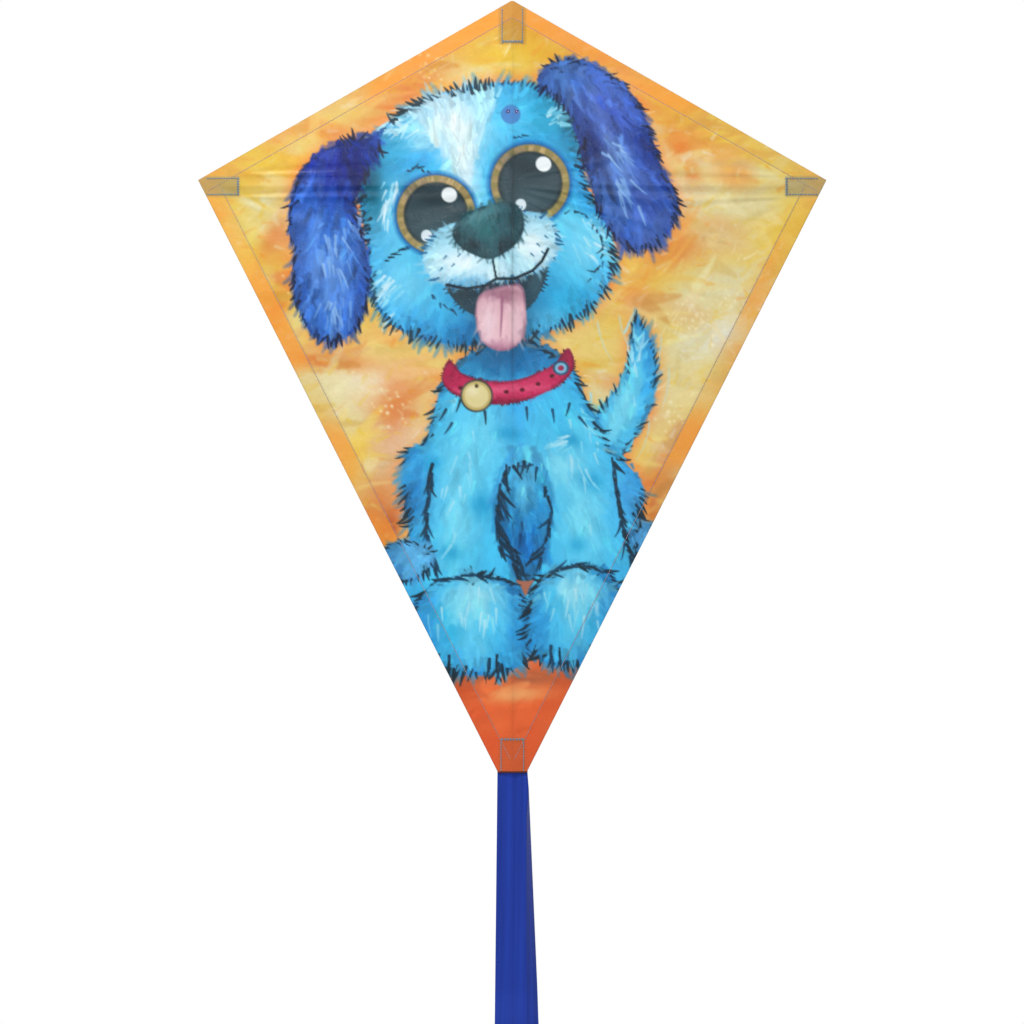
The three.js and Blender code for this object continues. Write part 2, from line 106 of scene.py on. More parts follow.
TAIL_TOP_Z = FOOT_Z + 8.5 * MM
TAIL_HINGE_Z = FOOT_Z - 1.6 * MM
TAIL_LEFT_X = (-15 * MM, -17.8 * MM)
TAIL_RIGHT_X = (15.7 * MM, 27.1 * MM)
TAIL_DROP_END_Z = FOOT_Z - 260 * MM
TAIL_MID_Y = 2.4 * MM
HANK_WIDTH = 50 * MM
HANK_LENGTH = 160 * MM
TIE_WIDTH = 9 * MM

# ---------------------------------------------------------------- sizes of the finish

SAIL_PITCH = 1.1 * MM             # between the points of the sail
FRONT_FACE = 0.1 * MM             # the sail's one sheet, behind the CAD model's front face
HEM_LIFT = 0.45 * MM
BASE_LIFT = 0.7 * MM              # the pockets' base layer
TURN_UNDER = 0.25 * MM            # of a pocket's mouth, in front of its back layer
POCKET_PROUD = 0.2 * MM           # of the pocket's back layer, over its place in the CAD model
PUCKER = 0.12 * MM
STITCH_LENGTH = 2.5 * MM
STITCH_PITCH = 2.7 * MM
THREAD_RADIUS = 0.55 * MM
HEM_THREAD_RADIUS = 0.30 * MM
RIBBON_WIDTH = 50 * MM
RIBBON_LENGTH = 2.4
WING_POCKET_LENGTH = 38 * MM
TAIL_REST_LIFT = POCKET_LIFT + CLOTH + GAP   # of the ribbon's sewn end over the sail
SEED = 7


def lerp(a, b, t):
    return a + (b - a) * t


def smoothstep(value, low, high):
    t = np.clip((value - low) / (high - low), 0, 1)
    return t * t * (3 - 2 * t)


# ---------------------------------------------------------------- camera, light and floor

CAMERA_DISTANCE = 9.0
VIEW_WIDTH = 1.032                # what the camera takes in at the sail
VIEW_CENTRE = Vector((-0.0003, 0, -0.4038))
SENSOR = 36
LAMPS = (   # name, place, width, height, power in watts
    ("key", (-0.7, -1.0, 1.6), 0.45, 0.45, 66),
    ("fill", (1.6, -1.5, -0.2), 1.2, 1.2, 8),
    ("strip", (-0.2, -2.4, 0.45), 1.5, 0.10, 15),
)


def make_camera():
    data = bpy.data.cameras.new("camera")
    data.sensor_width = SENSOR
    data.lens = SENSOR * CAMERA_DISTANCE / VIEW_WIDTH
    camera = bpy.data.objects.new("camera", data)
    camera.location = VIEW_CENTRE - Vector((0, CAMERA_DISTANCE, 0))
    camera.rotation_euler = (math.pi / 2, 0, 0)
    bpy.context.collection.objects.link(camera)
    bpy.context.scene.camera = camera


def make_light(name, place, width, height, power):
    data = bpy.data.lights.new(name, "AREA")
    data.shape = "RECTANGLE"
    data.size = width
    data.size_y = height
    data.energy = power
    light = bpy.data.objects.new(name, data)
    light.location = place
    light.rotation_euler = (VIEW_CENTRE - Vector(place)).to_track_quat("-Z", "Y").to_euler()
    bpy.context.collection.objects.link(light)


def make_world():
    """A white room that looks brighter than it lights, so that the lamps model the cloth."""
    world = bpy.data.worlds.new("studio")
    world.use_nodes = True
    background = world.node_tree.nodes["Background"]
    background.inputs["Color"].default_value = (1, 1, 1, 1)
    seen = world.node_tree.nodes.new("ShaderNodeLightPath").outputs["Is Camera Ray"]
    strength = world.node_tree.nodes.new("ShaderNodeMapRange")
    strength.inputs["To Min"].default_value = 0.6
    strength.inputs["To Max"].default_value = 1.0
    world.node_tree.links.new(seen, strength.inputs["Value"])
    world.node_tree.links.new(strength.outputs["Result"], background.inputs["Strength"])
    bpy.context.scene.world = world
    bpy.context.scene.view_settings.view_transform = "Standard"


make_camera()
make_world()
for lamp in LAMPS:
    make_light(*lamp)

# ---------------------------------------------------------------- shape of the sail

CREASES = (   # start x, start z, heading in degrees, length, width, depth
    (0.010, SPREADER_Z - 0.002, -5, 0.250, 0.007, 2.4 * MM),
    (0.012, SPREADER_Z - 0.006, -14, 0.190, 0.006, 2.1 * MM),
    (0.010, SPREADER_Z - 0.012, -27, 0.130, 0.006, 1.8 * MM),
    (0.010, SPREADER_Z + 0.008, 12, 0.150, 0.006, 1.6 * MM),
    (-0.010, SPREADER_Z - 0.004, 187, 0.160, 0.008, 1.4 * MM),
    (-0.010, SPREADER_Z - 0.010, 202, 0.110, 0.007, 1.0 * MM),
    (-0.010, SPREADER_Z + 0.008, 168, 0.120, 0.007, 1.0 * MM),
    (0.006, SPREADER_Z - 0.016, -60, 0.090, 0.007, 0.9 * MM),
    (-0.006, SPREADER_Z - 0.016, 240, 0.080, 0.007, 0.8 * MM),
    (0.274, SPREADER_Z + 0.011, 178, 0.150, 0.005, 1.8 * MM),
    (0.274, SPREADER_Z + 0.014, 166, 0.100, 0.007, 1.0 * MM),
    (0.274, SPREADER_Z - 0.011, 182, 0.150, 0.005, 1.8 * MM),
    (0.274, SPREADER_Z - 0.016, 200, 0.090, 0.007, 1.0 * MM),
    (-0.274, SPREADER_Z + 0.012, 0, 0.170, 0.005, 2.2 * MM),
    (-0.274, SPREADER_Z - 0.011, 0, 0.190, 0.005, 2.2 * MM),
    (-0.274, SPREADER_Z - 0.016, -20, 0.090, 0.007, 0.9 * MM),
    (-0.300, SPREADER_Z - 0.012, -40, 0.120, 0.008, 1.0 * MM),
    (0.300, SPREADER_Z - 0.012, 220, 0.120, 0.008, 1.0 * MM),
    (0.004, NOSE_Z - 0.046, -62, 0.090, 0.008, 0.9 * MM),
    (-0.004, NOSE_Z - 0.046, 242, 0.080, 0.008, 0.8 * MM),
    (0.004, FOOT_Z + 0.040, 76, 0.140, 0.007, 1.0 * MM),
    (-0.004, FOOT_Z + 0.040, 103, 0.120, 0.007, 0.9 * MM),
)
RIDGE_HEIGHT = 2.0 * MM           # of the cloth where the spreader lies against it
RIDGE_REACH = 7 * MM
SPINE_RIDGE = 0.5 * MM            # of the cloth along the spine
SPINE_RIDGE_REACH = 2.2 * MM
SPINE_FADE = (30 * MM, 60 * MM)   # from the spine's ends to where its ridge is whole
HOLE_FADE = (12 * MM, 24 * MM)    # and from the line holes
EDGE_FADE = (4 * MM, 50 * MM)     # from the sail's edge to where its relief is whole
MIDDLE_FADE = (6 * MM, 50 * MM)   # from the spine to where the spreader's ridge is whole
SWELL = 0.7 * MM                  # slow waves all over the sail
SWELL_FADE = (3 * MM, 40 * MM)    # from the spine


def half_width(z):
    upper = lerp(NOSE_WIDTH / 2, HALF_SPAN, (NOSE_Z - z) / (NOSE_Z - TIP_Z))
    lower = lerp(HALF_SPAN, FOOT_WIDTH / 2, np.clip((TIP_Z - z) / (TIP_Z - FOOT_Z), 0, 1))
    return np.where(z > TIP_Z, upper, lower)


def upper_edge_z(x):
    t = np.clip((np.abs(x) - NOSE_WIDTH / 2) / (HALF_SPAN - NOSE_WIDTH / 2), 0, 1)
    return lerp(NOSE_Z, TIP_Z, t)


def lower_edge_z(x):
    t = np.clip((np.abs(x) - FOOT_WIDTH / 2) / (HALF_SPAN - FOOT_WIDTH / 2), 0, 1)
    return lerp(FOOT_Z, TIP_Z, t)


def spreader_y(x):
    return SPREADER_Y + SPREADER_BOW * (x / SPREADER_END_X) ** 2


def crease(x, z, start_x, start_z, heading, length, width, depth):
    """A fold that swells from its start, widens and runs out."""
    heading = math.radians(heading)
    along = ((x - start_x) * math.cos(heading) + (z - start_z) * math.sin(heading)) / length
    across = (z - start_z) * math.cos(heading) - (x - start_x) * math.sin(heading)
    swell = np.clip(along, 0, 1) ** 0.6 * np.clip(1 - along, 0, 1)
    reach = width * (0.3 + 0.8 * np.clip(along, 0, 1))
    side = across / reach
    return depth * swell * (np.exp(-side ** 2) - 0.5 * np.exp(-((side - 1.6) ** 2)))


def along_spine(z):
    """1 where the cloth hangs on the spine, and 0 at the pockets and the line holes."""
    foot_end = smoothstep(z - SPINE_BOTTOM_Z, *SPINE_FADE)
    nose_end = smoothstep(SPINE_TOP_Z - z, *SPINE_FADE)
    return foot_end * nose_end * smoothstep(np.abs(z), *HOLE_FADE)


def cloth_y(x, z):
    """Front face of the CAD sail, with the ridge, creases and slow waves of real cloth."""
    plane = SAIL_SLOPE * np.abs(x)
    push = np.maximum(0, plane + CLOTH + GAP + ROD_RADIUS - spreader_y(x))
    edge_z = np.where(z > SPREADER_Z, upper_edge_z(x), lower_edge_z(x))
    fall = np.clip(1 - (z - SPREADER_Z) / (edge_z - SPREADER_Z), 0, 1)
    y = plane - push * fall
    inside = smoothstep(half_width(z) - np.abs(x), *EDGE_FADE)
    from_ridge = np.sqrt((z - SPREADER_Z) ** 2 + (2 * MM) ** 2) / RIDGE_REACH
    y = y - RIDGE_HEIGHT * np.exp(-from_ridge) * inside * smoothstep(np.abs(x), *MIDDLE_FADE)
    y = y - SPINE_RIDGE * np.exp(-np.abs(x) / SPINE_RIDGE_REACH) * along_spine(z)
    for fold in CREASES:
        y = y - crease(x, z, *fold) * inside
    waves = np.sin(23 * x + 9 * z + 1.1) + np.sin(14 * z - 19 * x + 2.3) + np.sin(37 * x - 31 * z)
    return y + SWELL * waves * inside * smoothstep(np.abs(x), *SWELL_FADE)


# ---------------------------------------------------------------- mesh building

class Shape:
    """Collects points and faces, and becomes one piece."""

    def __init__(self):
        self.points = []
        self.faces = []
        self.uvs = []
        self.count = 0

    def add(self, points, faces, uvs=None):
        points = np.asarray(points, float).reshape(-1, 3)
        self.points.append(points)
        self.uvs.append(points[:, [0, 2]] if uvs is None else np.asarray(uvs, float).reshape(-1, 2))
        self.faces += [tuple(index + self.count for index in face) for face in faces]
        self.count += len(points)

    def grid(self, points, closed=False, uvs=None):
        """Rows of points joined by quads. Closed rows run round and meet."""
        points = np.asarray(points, float)
        rows, columns = points.shape[:2]
        index = np.arange(rows * columns).reshape(rows, columns)
        if closed:
            index = np.hstack([index, index[:, :1]])
        quads = np.stack([index[:-1, :-1], index[1:, :-1], index[1:, 1:], index[:-1, 1:]], -1)
        self.add(points, quads.reshape(-1, 4).tolist(), uvs)

    def capped_tube(self, rings, uvs=None):
        """Closed rings of points with a face over each end."""
        rings = np.asarray(rings, float)
        count = rings.shape[1]
        start = self.count
        self.grid(rings, closed=True, uvs=uvs)
        last = start + (len(rings) - 1) * count
        self.faces.append(tuple(range(start + count - 1, start - 1, -1)))
        self.faces.append(tuple(range(last, last + count)))

    def placed(self, name, material=None):
        """The shape as an object in the scene."""
        mesh = bpy.data.meshes.new(name)
        mesh.from_pydata(np.vstack(self.points).tolist(), [], self.faces)
        layer = mesh.uv_layers.new(name="cloth")
        corners = np.empty(len(mesh.loops), np.int32)
        mesh.loops.foreach_get("vertex_index", corners)
        layer.uv.foreach_set("vector", np.vstack(self.uvs)[corners].astype(np.float32).ravel())
        mesh.shade_smooth()
        if material:
            mesh.materials.append(material)
        made = bpy.data.objects.new(name, mesh)
        bpy.context.collection.objects.link(made)
        return made

    def piece(self, name, material, body="kite", replaces=()):
        made = self.placed(name, material)
        if body:
            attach(made, body)
        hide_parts(*replaces)
        return made


def ring(centre, radius, first, second, sides):
    """Points round a circle in the plane of two unit vectors."""
    turns = np.arange(sides) * 2 * math.pi / sides
    centre, first, second = (np.asarray(v, float) for v in (centre, first, second))
    return centre + radius * (np.cos(turns)[:, None] * first + np.sin(turns)[:, None] * second)


def turned(profile, tip, outward, sides=32):
    """Rings for a profile of (radius, height) turned about an axis that leaves tip outwards."""
    axis = Vector(outward).normalized()
    first = axis.orthogonal().normalized()
    second = axis.cross(first)
    tip = np.asarray(tip, float)
    return [ring(tip + height * np.asarray(axis), radius, first, second, sides) for radius, height in profile]


# ---------------------------------------------------------------- materials

class Finish:
    """A material that is built node by node."""

    def __init__(self, name):
        self.material = bpy.data.materials.new(name)
        self.material.use_nodes = True
        self.tree = self.material.node_tree
        self.shader = self.tree.nodes["Principled BSDF"]
        self.output = self.tree.nodes["Material Output"]

    def node(self, kind, **sockets):
        made = self.tree.nodes.new(kind)
        for name, value in sockets.items():
            self.put(value, made.inputs[name.replace("_", " ")])
        return made

    def put(self, value, socket):
        if isinstance(value, bpy.types.NodeSocket):
            self.tree.links.new(value, socket)
        else:
            socket.default_value = value

    def set(self, **sockets):
        for name, value in sockets.items():
            self.put(value, self.shader.inputs[name.replace("_", " ")])

    def place(self, uv=False):
        return self.node("ShaderNodeTexCoord").outputs["UV" if uv else "Object"]

    def stretched(self, place, *scale):
        return self.node("ShaderNodeMapping", Vector=place, Scale=scale).outputs["Vector"]

    def noise(self, place, scale, detail=2.0, roughness=0.5):
        made = self.node("ShaderNodeTexNoise", Vector=place, Scale=scale, Detail=detail, Roughness=roughness)
        return made.outputs["Fac"]

    def spread(self, value, low, high, low_in=0.0, high_in=1.0):
        made = self.tree.nodes.new("ShaderNodeMapRange")
        self.put(value, made.inputs["Value"])
        for name, number in (("From Min", low_in), ("From Max", high_in), ("To Min", low), ("To Max", high)):
            made.inputs[name].default_value = number
        return made.outputs["Result"]

    def tint(self, value, low, high):
        """A colour between two, by value."""
        made = self.tree.nodes.new("ShaderNodeMix")
        made.data_type = "RGBA"
        self.put(value, made.inputs["Factor"])
        made.inputs["A"].default_value = (*low, 1)
        made.inputs["B"].default_value = (*high, 1)
        return next(o for o in made.outputs if o.type == "RGBA")

    def darkened(self, colour, value):
        """A colour multiplied by a grey value."""
        made = self.tree.nodes.new("ShaderNodeVectorMath")
        made.operation = "SCALE"
        self.put(colour, made.inputs[0])
        self.put(value, made.inputs["Scale"])
        return made.outputs["Vector"]

    def bands(self, place, period, direction):
        made = self.node("ShaderNodeTexWave", Vector=place, Scale=2 * math.pi / (20 * period))
        made.bands_direction = direction
        return made.outputs["Fac"]

    def bump(self, height, distance, strength=1.0, under=None):
        made = self.node("ShaderNodeBump", Height=height, Distance=distance, Strength=strength)
        if under is not None:
            self.tree.links.new(under, made.inputs["Normal"])
        return made.outputs["Normal"]

    def weave(self, place, first, second, period):
        """Height of a plain weave: two sets of threads that cross."""
        warp, weft = (self.bands(place, period, direction) for direction in (first, second))
        made = self.tree.nodes.new("ShaderNodeMath")
        made.operation = "ADD"
        self.put(warp, made.inputs[0])
        self.put(weft, made.inputs[1])
        return made.outputs["Value"]

    def see_through(self, colour, normal, share):
        """Lets a share of the light come through the cloth from behind."""
        glow = self.node("ShaderNodeBsdfTranslucent", Color=colour, Normal=normal)
        mixed = self.node("ShaderNodeMixShader")
        mixed.inputs[0].default_value = share
        self.tree.links.new(self.shader.outputs[0], mixed.inputs[1])
        self.tree.links.new(glow.outputs[0], mixed.inputs[2])
        self.tree.links.new(mixed.outputs[0], self.output.inputs["Surface"])


def sail_finish():
    f = Finish("printed_sail")
    place = f.place()
    colour = f.node("ShaderNodeAttribute")
    colour.attribute_name = "print"
    thread_tone = f.spread(f.noise(place, 2600, 1), 0.93, 1.05)
    shade = f.darkened(colour.outputs["Color"], thread_tone)
    crinkle = f.bump(f.noise(place, 42, 4, 0.6), 1.4 * MM, 0.55)
    weave = f.bump(f.weave(place, "X", "Z", 0.45 * MM), 0.03 * MM, 0.5, crinkle)
    roughness = f.spread(f.noise(place, 90, 3), 0.24, 0.36, 0.3, 0.7)
    f.set(Base_Color=shade, Roughness=roughness, Normal=weave, Sheen_Weight=0.03, Specular_IOR_Level=0.38)
    f.see_through(shade, weave, 0.36)
    return f.material


def pocket_finish():
    f = Finish("pocket_polyester")
    place = f.place()
    weave_height = f.weave(place, "X", "Z", 0.6 * MM)
    mottled = f.noise(place, 300, 3)
    colour = f.tint(mottled, (0.34, 0.29, 0.20), (0.48, 0.41, 0.29))
    normal = f.bump(weave_height, 0.06 * MM, 0.8, f.bump(f.noise(place, 120, 3), 0.5 * MM, 0.5))
    f.set(Base_Color=colour, Roughness=f.spread(mottled, 0.55, 0.75), Normal=normal, Sheen_Weight=0.2)
    f.see_through(colour, normal, 0.25)
    return f.material


def patch_finish():
    f = Finish("patch_film")
    place = f.place()
    blotch = f.noise(place, 260, 3)
    colour = f.tint(blotch, (0.045, 0.07, 0.24), (0.09, 0.13, 0.36))
    normal = f.bump(blotch, 0.2 * MM, 0.6)
    f.set(Base_Color=colour, Roughness=f.spread(blotch, 0.5, 0.65), Normal=normal, Specular_IOR_Level=0.2)
    f.see_through(colour, normal, 0.35)
    return f.material


def thread_finish(name, dark, light):
    f = Finish(name)
    place = f.place()
    twist = f.bands(place, 0.5 * MM, "DIAGONAL")
    colour = f.tint(twist, dark, light)
    f.set(Base_Color=colour, Roughness=0.62, Sheen_Weight=0.3, Normal=f.bump(twist, 0.06 * MM, 0.7))
    return f.material


def fibreglass_finish():
    f = Finish("pultruded_fibreglass")
    place = f.place()
    strands = f.noise(f.stretched(f.place(uv=True), 5200, 50, 1), 1, 3, 0.6)
    scuffs = f.noise(place, 180, 4, 0.7)
    colour = f.tint(strands, (0.008, 0.009, 0.010), (0.030, 0.031, 0.034))
    f.set(Base_Color=colour, Roughness=f.spread(scuffs, 0.22, 0.48, 0.35, 0.7),
          Normal=f.bump(strands, 0.05 * MM, 0.5), Coat_Weight=0.25)
    return f.material


def vinyl_finish():
    f = Finish("moulded_vinyl")
    place = f.place()
    grain = f.noise(place, 1800, 3, 0.6)
    dust = f.noise(place, 220, 4, 0.6)
    colour = f.tint(f.spread(dust, 0, 1, 0.45, 0.75), (0.008, 0.008, 0.010), (0.030, 0.029, 0.030))
    f.set(Base_Color=colour, Roughness=f.spread(dust, 0.42, 0.66), Normal=f.bump(grain, 0.05 * MM, 0.6))
    return f.material


def ribbon_finish():
    f = Finish("ribbon_taffeta")
    place = f.place(uv=True)
    streaks = f.noise(f.stretched(place, 420, 9, 1), 1, 3, 0.6)
    bands = f.noise(f.stretched(place, 130, 2, 1), 1, 2)
    blue = f.tint(streaks, (0.008, 0.026, 0.22), (0.013, 0.040, 0.30))
    colour = f.darkened(blue, f.spread(bands, 0.84, 1.16, 0.35, 0.65))
    crinkle = f.bump(f.noise(place, 60, 3), 0.5 * MM, 0.5)
    normal = f.bump(f.weave(place, "X", "Y", 0.5 * MM), 0.05 * MM, 0.7, crinkle)
    f.set(Base_Color=colour, Roughness=f.spread(streaks, 0.36, 0.52), Normal=normal, Sheen_Weight=0.02,
          Specular_IOR_Level=0.1)
    f.see_through(colour, normal, 0.2)
    return f.material


def elastic_finish():
    f = Finish("braided_elastic")
    place = f.place(uv=True)
    braid = f.weave(place, "X", "Y", 1.1 * MM)
    colour = f.tint(braid, (0.006, 0.006, 0.008), (0.035, 0.035, 0.042))
    f.set(Base_Color=colour, Roughness=0.8, Normal=f.bump(braid, 0.25 * MM, 0.8), Sheen_Weight=0.3)
    return f.material


def floor_finish():
    f = Finish("pale_floor")
    speckle = f.noise(f.place(), 60, 3)
    f.set(Base_Color=f.tint(speckle, (0.80, 0.80, 0.79), (0.84, 0.84, 0.83)), Roughness=0.7)
    return f.material


SAIL_FINISH = sail_finish()
POCKET_FINISH = pocket_finish()
PATCH_FINISH = patch_finish()
THREAD_FINISH = thread_finish("pocket_thread", (0.05, 0.09, 0.12), (0.14, 0.20, 0.24))
HEM_THREAD_FINISH = thread_finish("hem_thread", (0.14, 0.10, 0.11), (0.30, 0.22, 0.22))
FIBREGLASS_FINISH = fibreglass_finish()
VINYL_FINISH = vinyl_finish()
RIBBON_FINISH = ribbon_finish()
ELASTIC_FINISH = elastic_finish()

# ---------------------------------------------------------------- painting tools

PAINT_PITCH = 0.5                 # mm between the painting's samples
PAINT_HALF_WIDTH = 322
PAINT_HEIGHT = 786
PAINT_MARGIN = 6                  # above the nose


def smooth_outline(points, steps=8):
    """A closed Catmull-Rom curve through the points."""
    points = np.array(points, float)
    before, after, beyond = (np.roll(points, shift, 0) for shift in (1, -1, -2))
    curve = []
    for t in np.arange(steps) / steps:
        curve.append(0.5 * (2 * points + (after - before) * t
                            + (2 * before - 5 * points + 4 * after - beyond) * t ** 2
                            + (3 * points - before - 3 * after + beyond) * t ** 3))
    return np.stack(curve, 1).reshape(-1, 2)


def blurred(values, reach, passes=2):
    """A box blur, reach samples to each side."""
    for _ in range(passes):
        for axis in (0, 1):
            pad = [(reach + 1, reach) if i == axis else (0, 0) for i in range(2)]
            total = np.cumsum(np.pad(values, pad, mode="edge"), axis)
            first, last = (np.take(total, range(s, s + values.shape[axis]), axis) for s in (0, 2 * reach + 1))
            values = (last - first) / (2 * reach + 1)
    return values


class Canvas:
    """The printed picture, in sRGB. x is mm to the right of the spine and d is mm down from the nose."""

    def __init__(self, seed):
        self.x = np.arange(-PAINT_HALF_WIDTH, PAINT_HALF_WIDTH, PAINT_PITCH)
        self.d = np.arange(-PAINT_MARGIN, PAINT_HEIGHT, PAINT_PITCH)
        self.rgb = np.ones((len(self.d), len(self.x), 3), np.float32)
        self.rng = np.random.default_rng(seed)

    def window(self, low, high):
        columns = slice(*np.searchsorted(self.x, (low[0], high[0])))
        rows = slice(*np.searchsorted(self.d, (low[1], high[1])))
        return rows, columns

    def blend(self, where, cover, colour, form=None):
        """A colour over a window, as strong as cover says, kept inside a form where one is given."""
        if form is not None:
            cover = cover * form.mask[where]
        self.rgb[where] += (np.asarray(colour, np.float32) - self.rgb[where]) * cover[..., None]

    def wash(self, cover, colour):
        """A colour over the whole canvas."""
        self.blend(..., np.asarray(cover), colour)

    def spot(self, x, d):
        """The row and column nearest to a place."""
        row = min(max(round((d + PAINT_MARGIN) / PAINT_PITCH), 0), len(self.d) - 1)
        column = min(max(round((x + PAINT_HALF_WIDTH) / PAINT_PITCH), 0), len(self.x) - 1)
        return row, column

    def at(self, x, d):
        return self.rgb[self.spot(x, d)]

    def cloud(self, cell_x, cell_d, lean=0.0):
        """Smooth random values from 0 to 1, with blotches of the given size in mm."""
        x, d = np.meshgrid(self.x, self.d)
        u = (x + lean * d) / cell_x
        v = (d - lean * x) / cell_d
        u, v = u - u.min(), v - v.min()
        lattice = self.rng.random((int(v.max()) + 3, int(u.max()) + 3)).astype(np.float32)
        column, row = u.astype(int), v.astype(int)
        fu, fv = (f * f * (3 - 2 * f) for f in (u - column, v - row))
        top = lattice[row, column] * (1 - fu) + lattice[row, column + 1] * fu
        bottom = lattice[row + 1, column] * (1 - fu) + lattice[row + 1, column + 1] * fu
        return top * (1 - fv) + bottom * fv

    def form(self, points):
        """A closed shape to paint on."""
        return Form(self, smooth_outline(points))

    def around(self, x, d, reach, tilt):
        """The window round a place, and where its samples lie along two tilted axes."""
        where = self.window((x - reach, d - reach), (x + reach, d + reach))
        dx, dd = np.meshgrid(self.x[where[1]] - x, self.d[where[0]] - d)
        return where, dx * math.cos(tilt) + dd * math.sin(tilt), dd * math.cos(tilt) - dx * math.sin(tilt)

    def glow(self, x, d, across, down, colour, strength, tilt=0.0, form=None):
        """A soft blot."""
        where, u, v = self.around(x, d, 2.2 * max(across, down), tilt)
        self.blend(where, strength * np.exp(-((u / across) ** 2 + (v / down) ** 2)), colour, form)

    def disc(self, x, d, across, down, colour, tilt=0.0, edge=0.8, opacity=1.0):
        """A crisp ellipse."""
        where, u, v = self.around(x, d, max(across, down) + 2, tilt)
        outside = (np.hypot(u / across, v / down) - 1) * min(across, down)
        self.blend(where, opacity * np.clip(0.5 - outside / edge, 0, 1), colour)

    def stroke(self, x, d, angle, length, width, colour, bend=0.0, opacity=1.0, soft=PAINT_PITCH):
        """One tapered brush stroke that starts at x, d and bends as it goes, with an edge soft mm wide."""
        ux, ud = math.cos(angle), math.sin(angle)
        end = (x + length * (ux - bend * ud), d + length * (ud + bend * ux))
        low = (min(x, end[0]) - width - soft, min(d, end[1]) - width - soft)
        high = (max(x, end[0]) + width + soft, max(d, end[1]) + width + soft)
        where = self.window(low, high)
        dx, dd = self.x[where[1]][None, :] - x, self.d[where[0]][:, None] - d
        along = dx * ux + dd * ud
        across = dd * ux - dx * ud
        t = along / length
        half = width / 2 * np.sqrt(np.clip(1 - t, 0, 1)) * np.clip(t * 6 + 0.35, 0, 1)
        cover = np.clip((half - np.abs(across - bend * length * t * t)) / soft + 0.5, 0, 1)
        cover *= np.clip(t * length / soft, 0, 1) * np.clip((1 - t) * length / soft, 0, 1)
        self.blend(where, cover * opacity, colour)

    def comb(self, points, length, width, step, lean):
        """A broken ink line: short strokes that lean off an open path by an angle."""
        rng = self.rng
        for (x0, d0), (x1, d1) in zip(points[:-1], points[1:]):
            heading = math.atan2(d1 - d0, x1 - x0) + lean
            count = max(1, round(math.hypot(x1 - x0, d1 - d0) / step))
            for t in (np.arange(count) + rng.random(count)) / count:
                self.stroke(lerp(x0, x1, t), lerp(d0, d1, t), heading + rng.normal(0, 0.22),
                            length * rng.uniform(0.6, 1.3), width * rng.uniform(0.6, 1.2),
                            lerp(*INKS, 0.6 * rng.random()), rng.normal(0, 0.15), 0.9, 1.0)

    def path(self, points, width, colour, opacity=1.0):
        """A line of even width with round joins through a few points."""
        points = np.array(points, float)
        low, high = points.min(0) - width, points.max(0) + width
        where = self.window(low, high)
        x, d = np.meshgrid(self.x[where[1]], self.d[where[0]])
        nearest = np.full(x.shape, np.inf)
        for (x0, d0), (x1, d1) in zip(points[:-1], points[1:]):
            ahead_x, ahead_d = x1 - x0, d1 - d0
            t = np.clip(((x - x0) * ahead_x + (d - d0) * ahead_d) / (ahead_x ** 2 + ahead_d ** 2), 0, 1)
            nearest = np.minimum(nearest, np.hypot(x - x0 - t * ahead_x, d - d0 - t * ahead_d))
        self.blend(where, opacity * np.clip((width / 2 - nearest) / PAINT_PITCH + 0.5, 0, 1), colour)


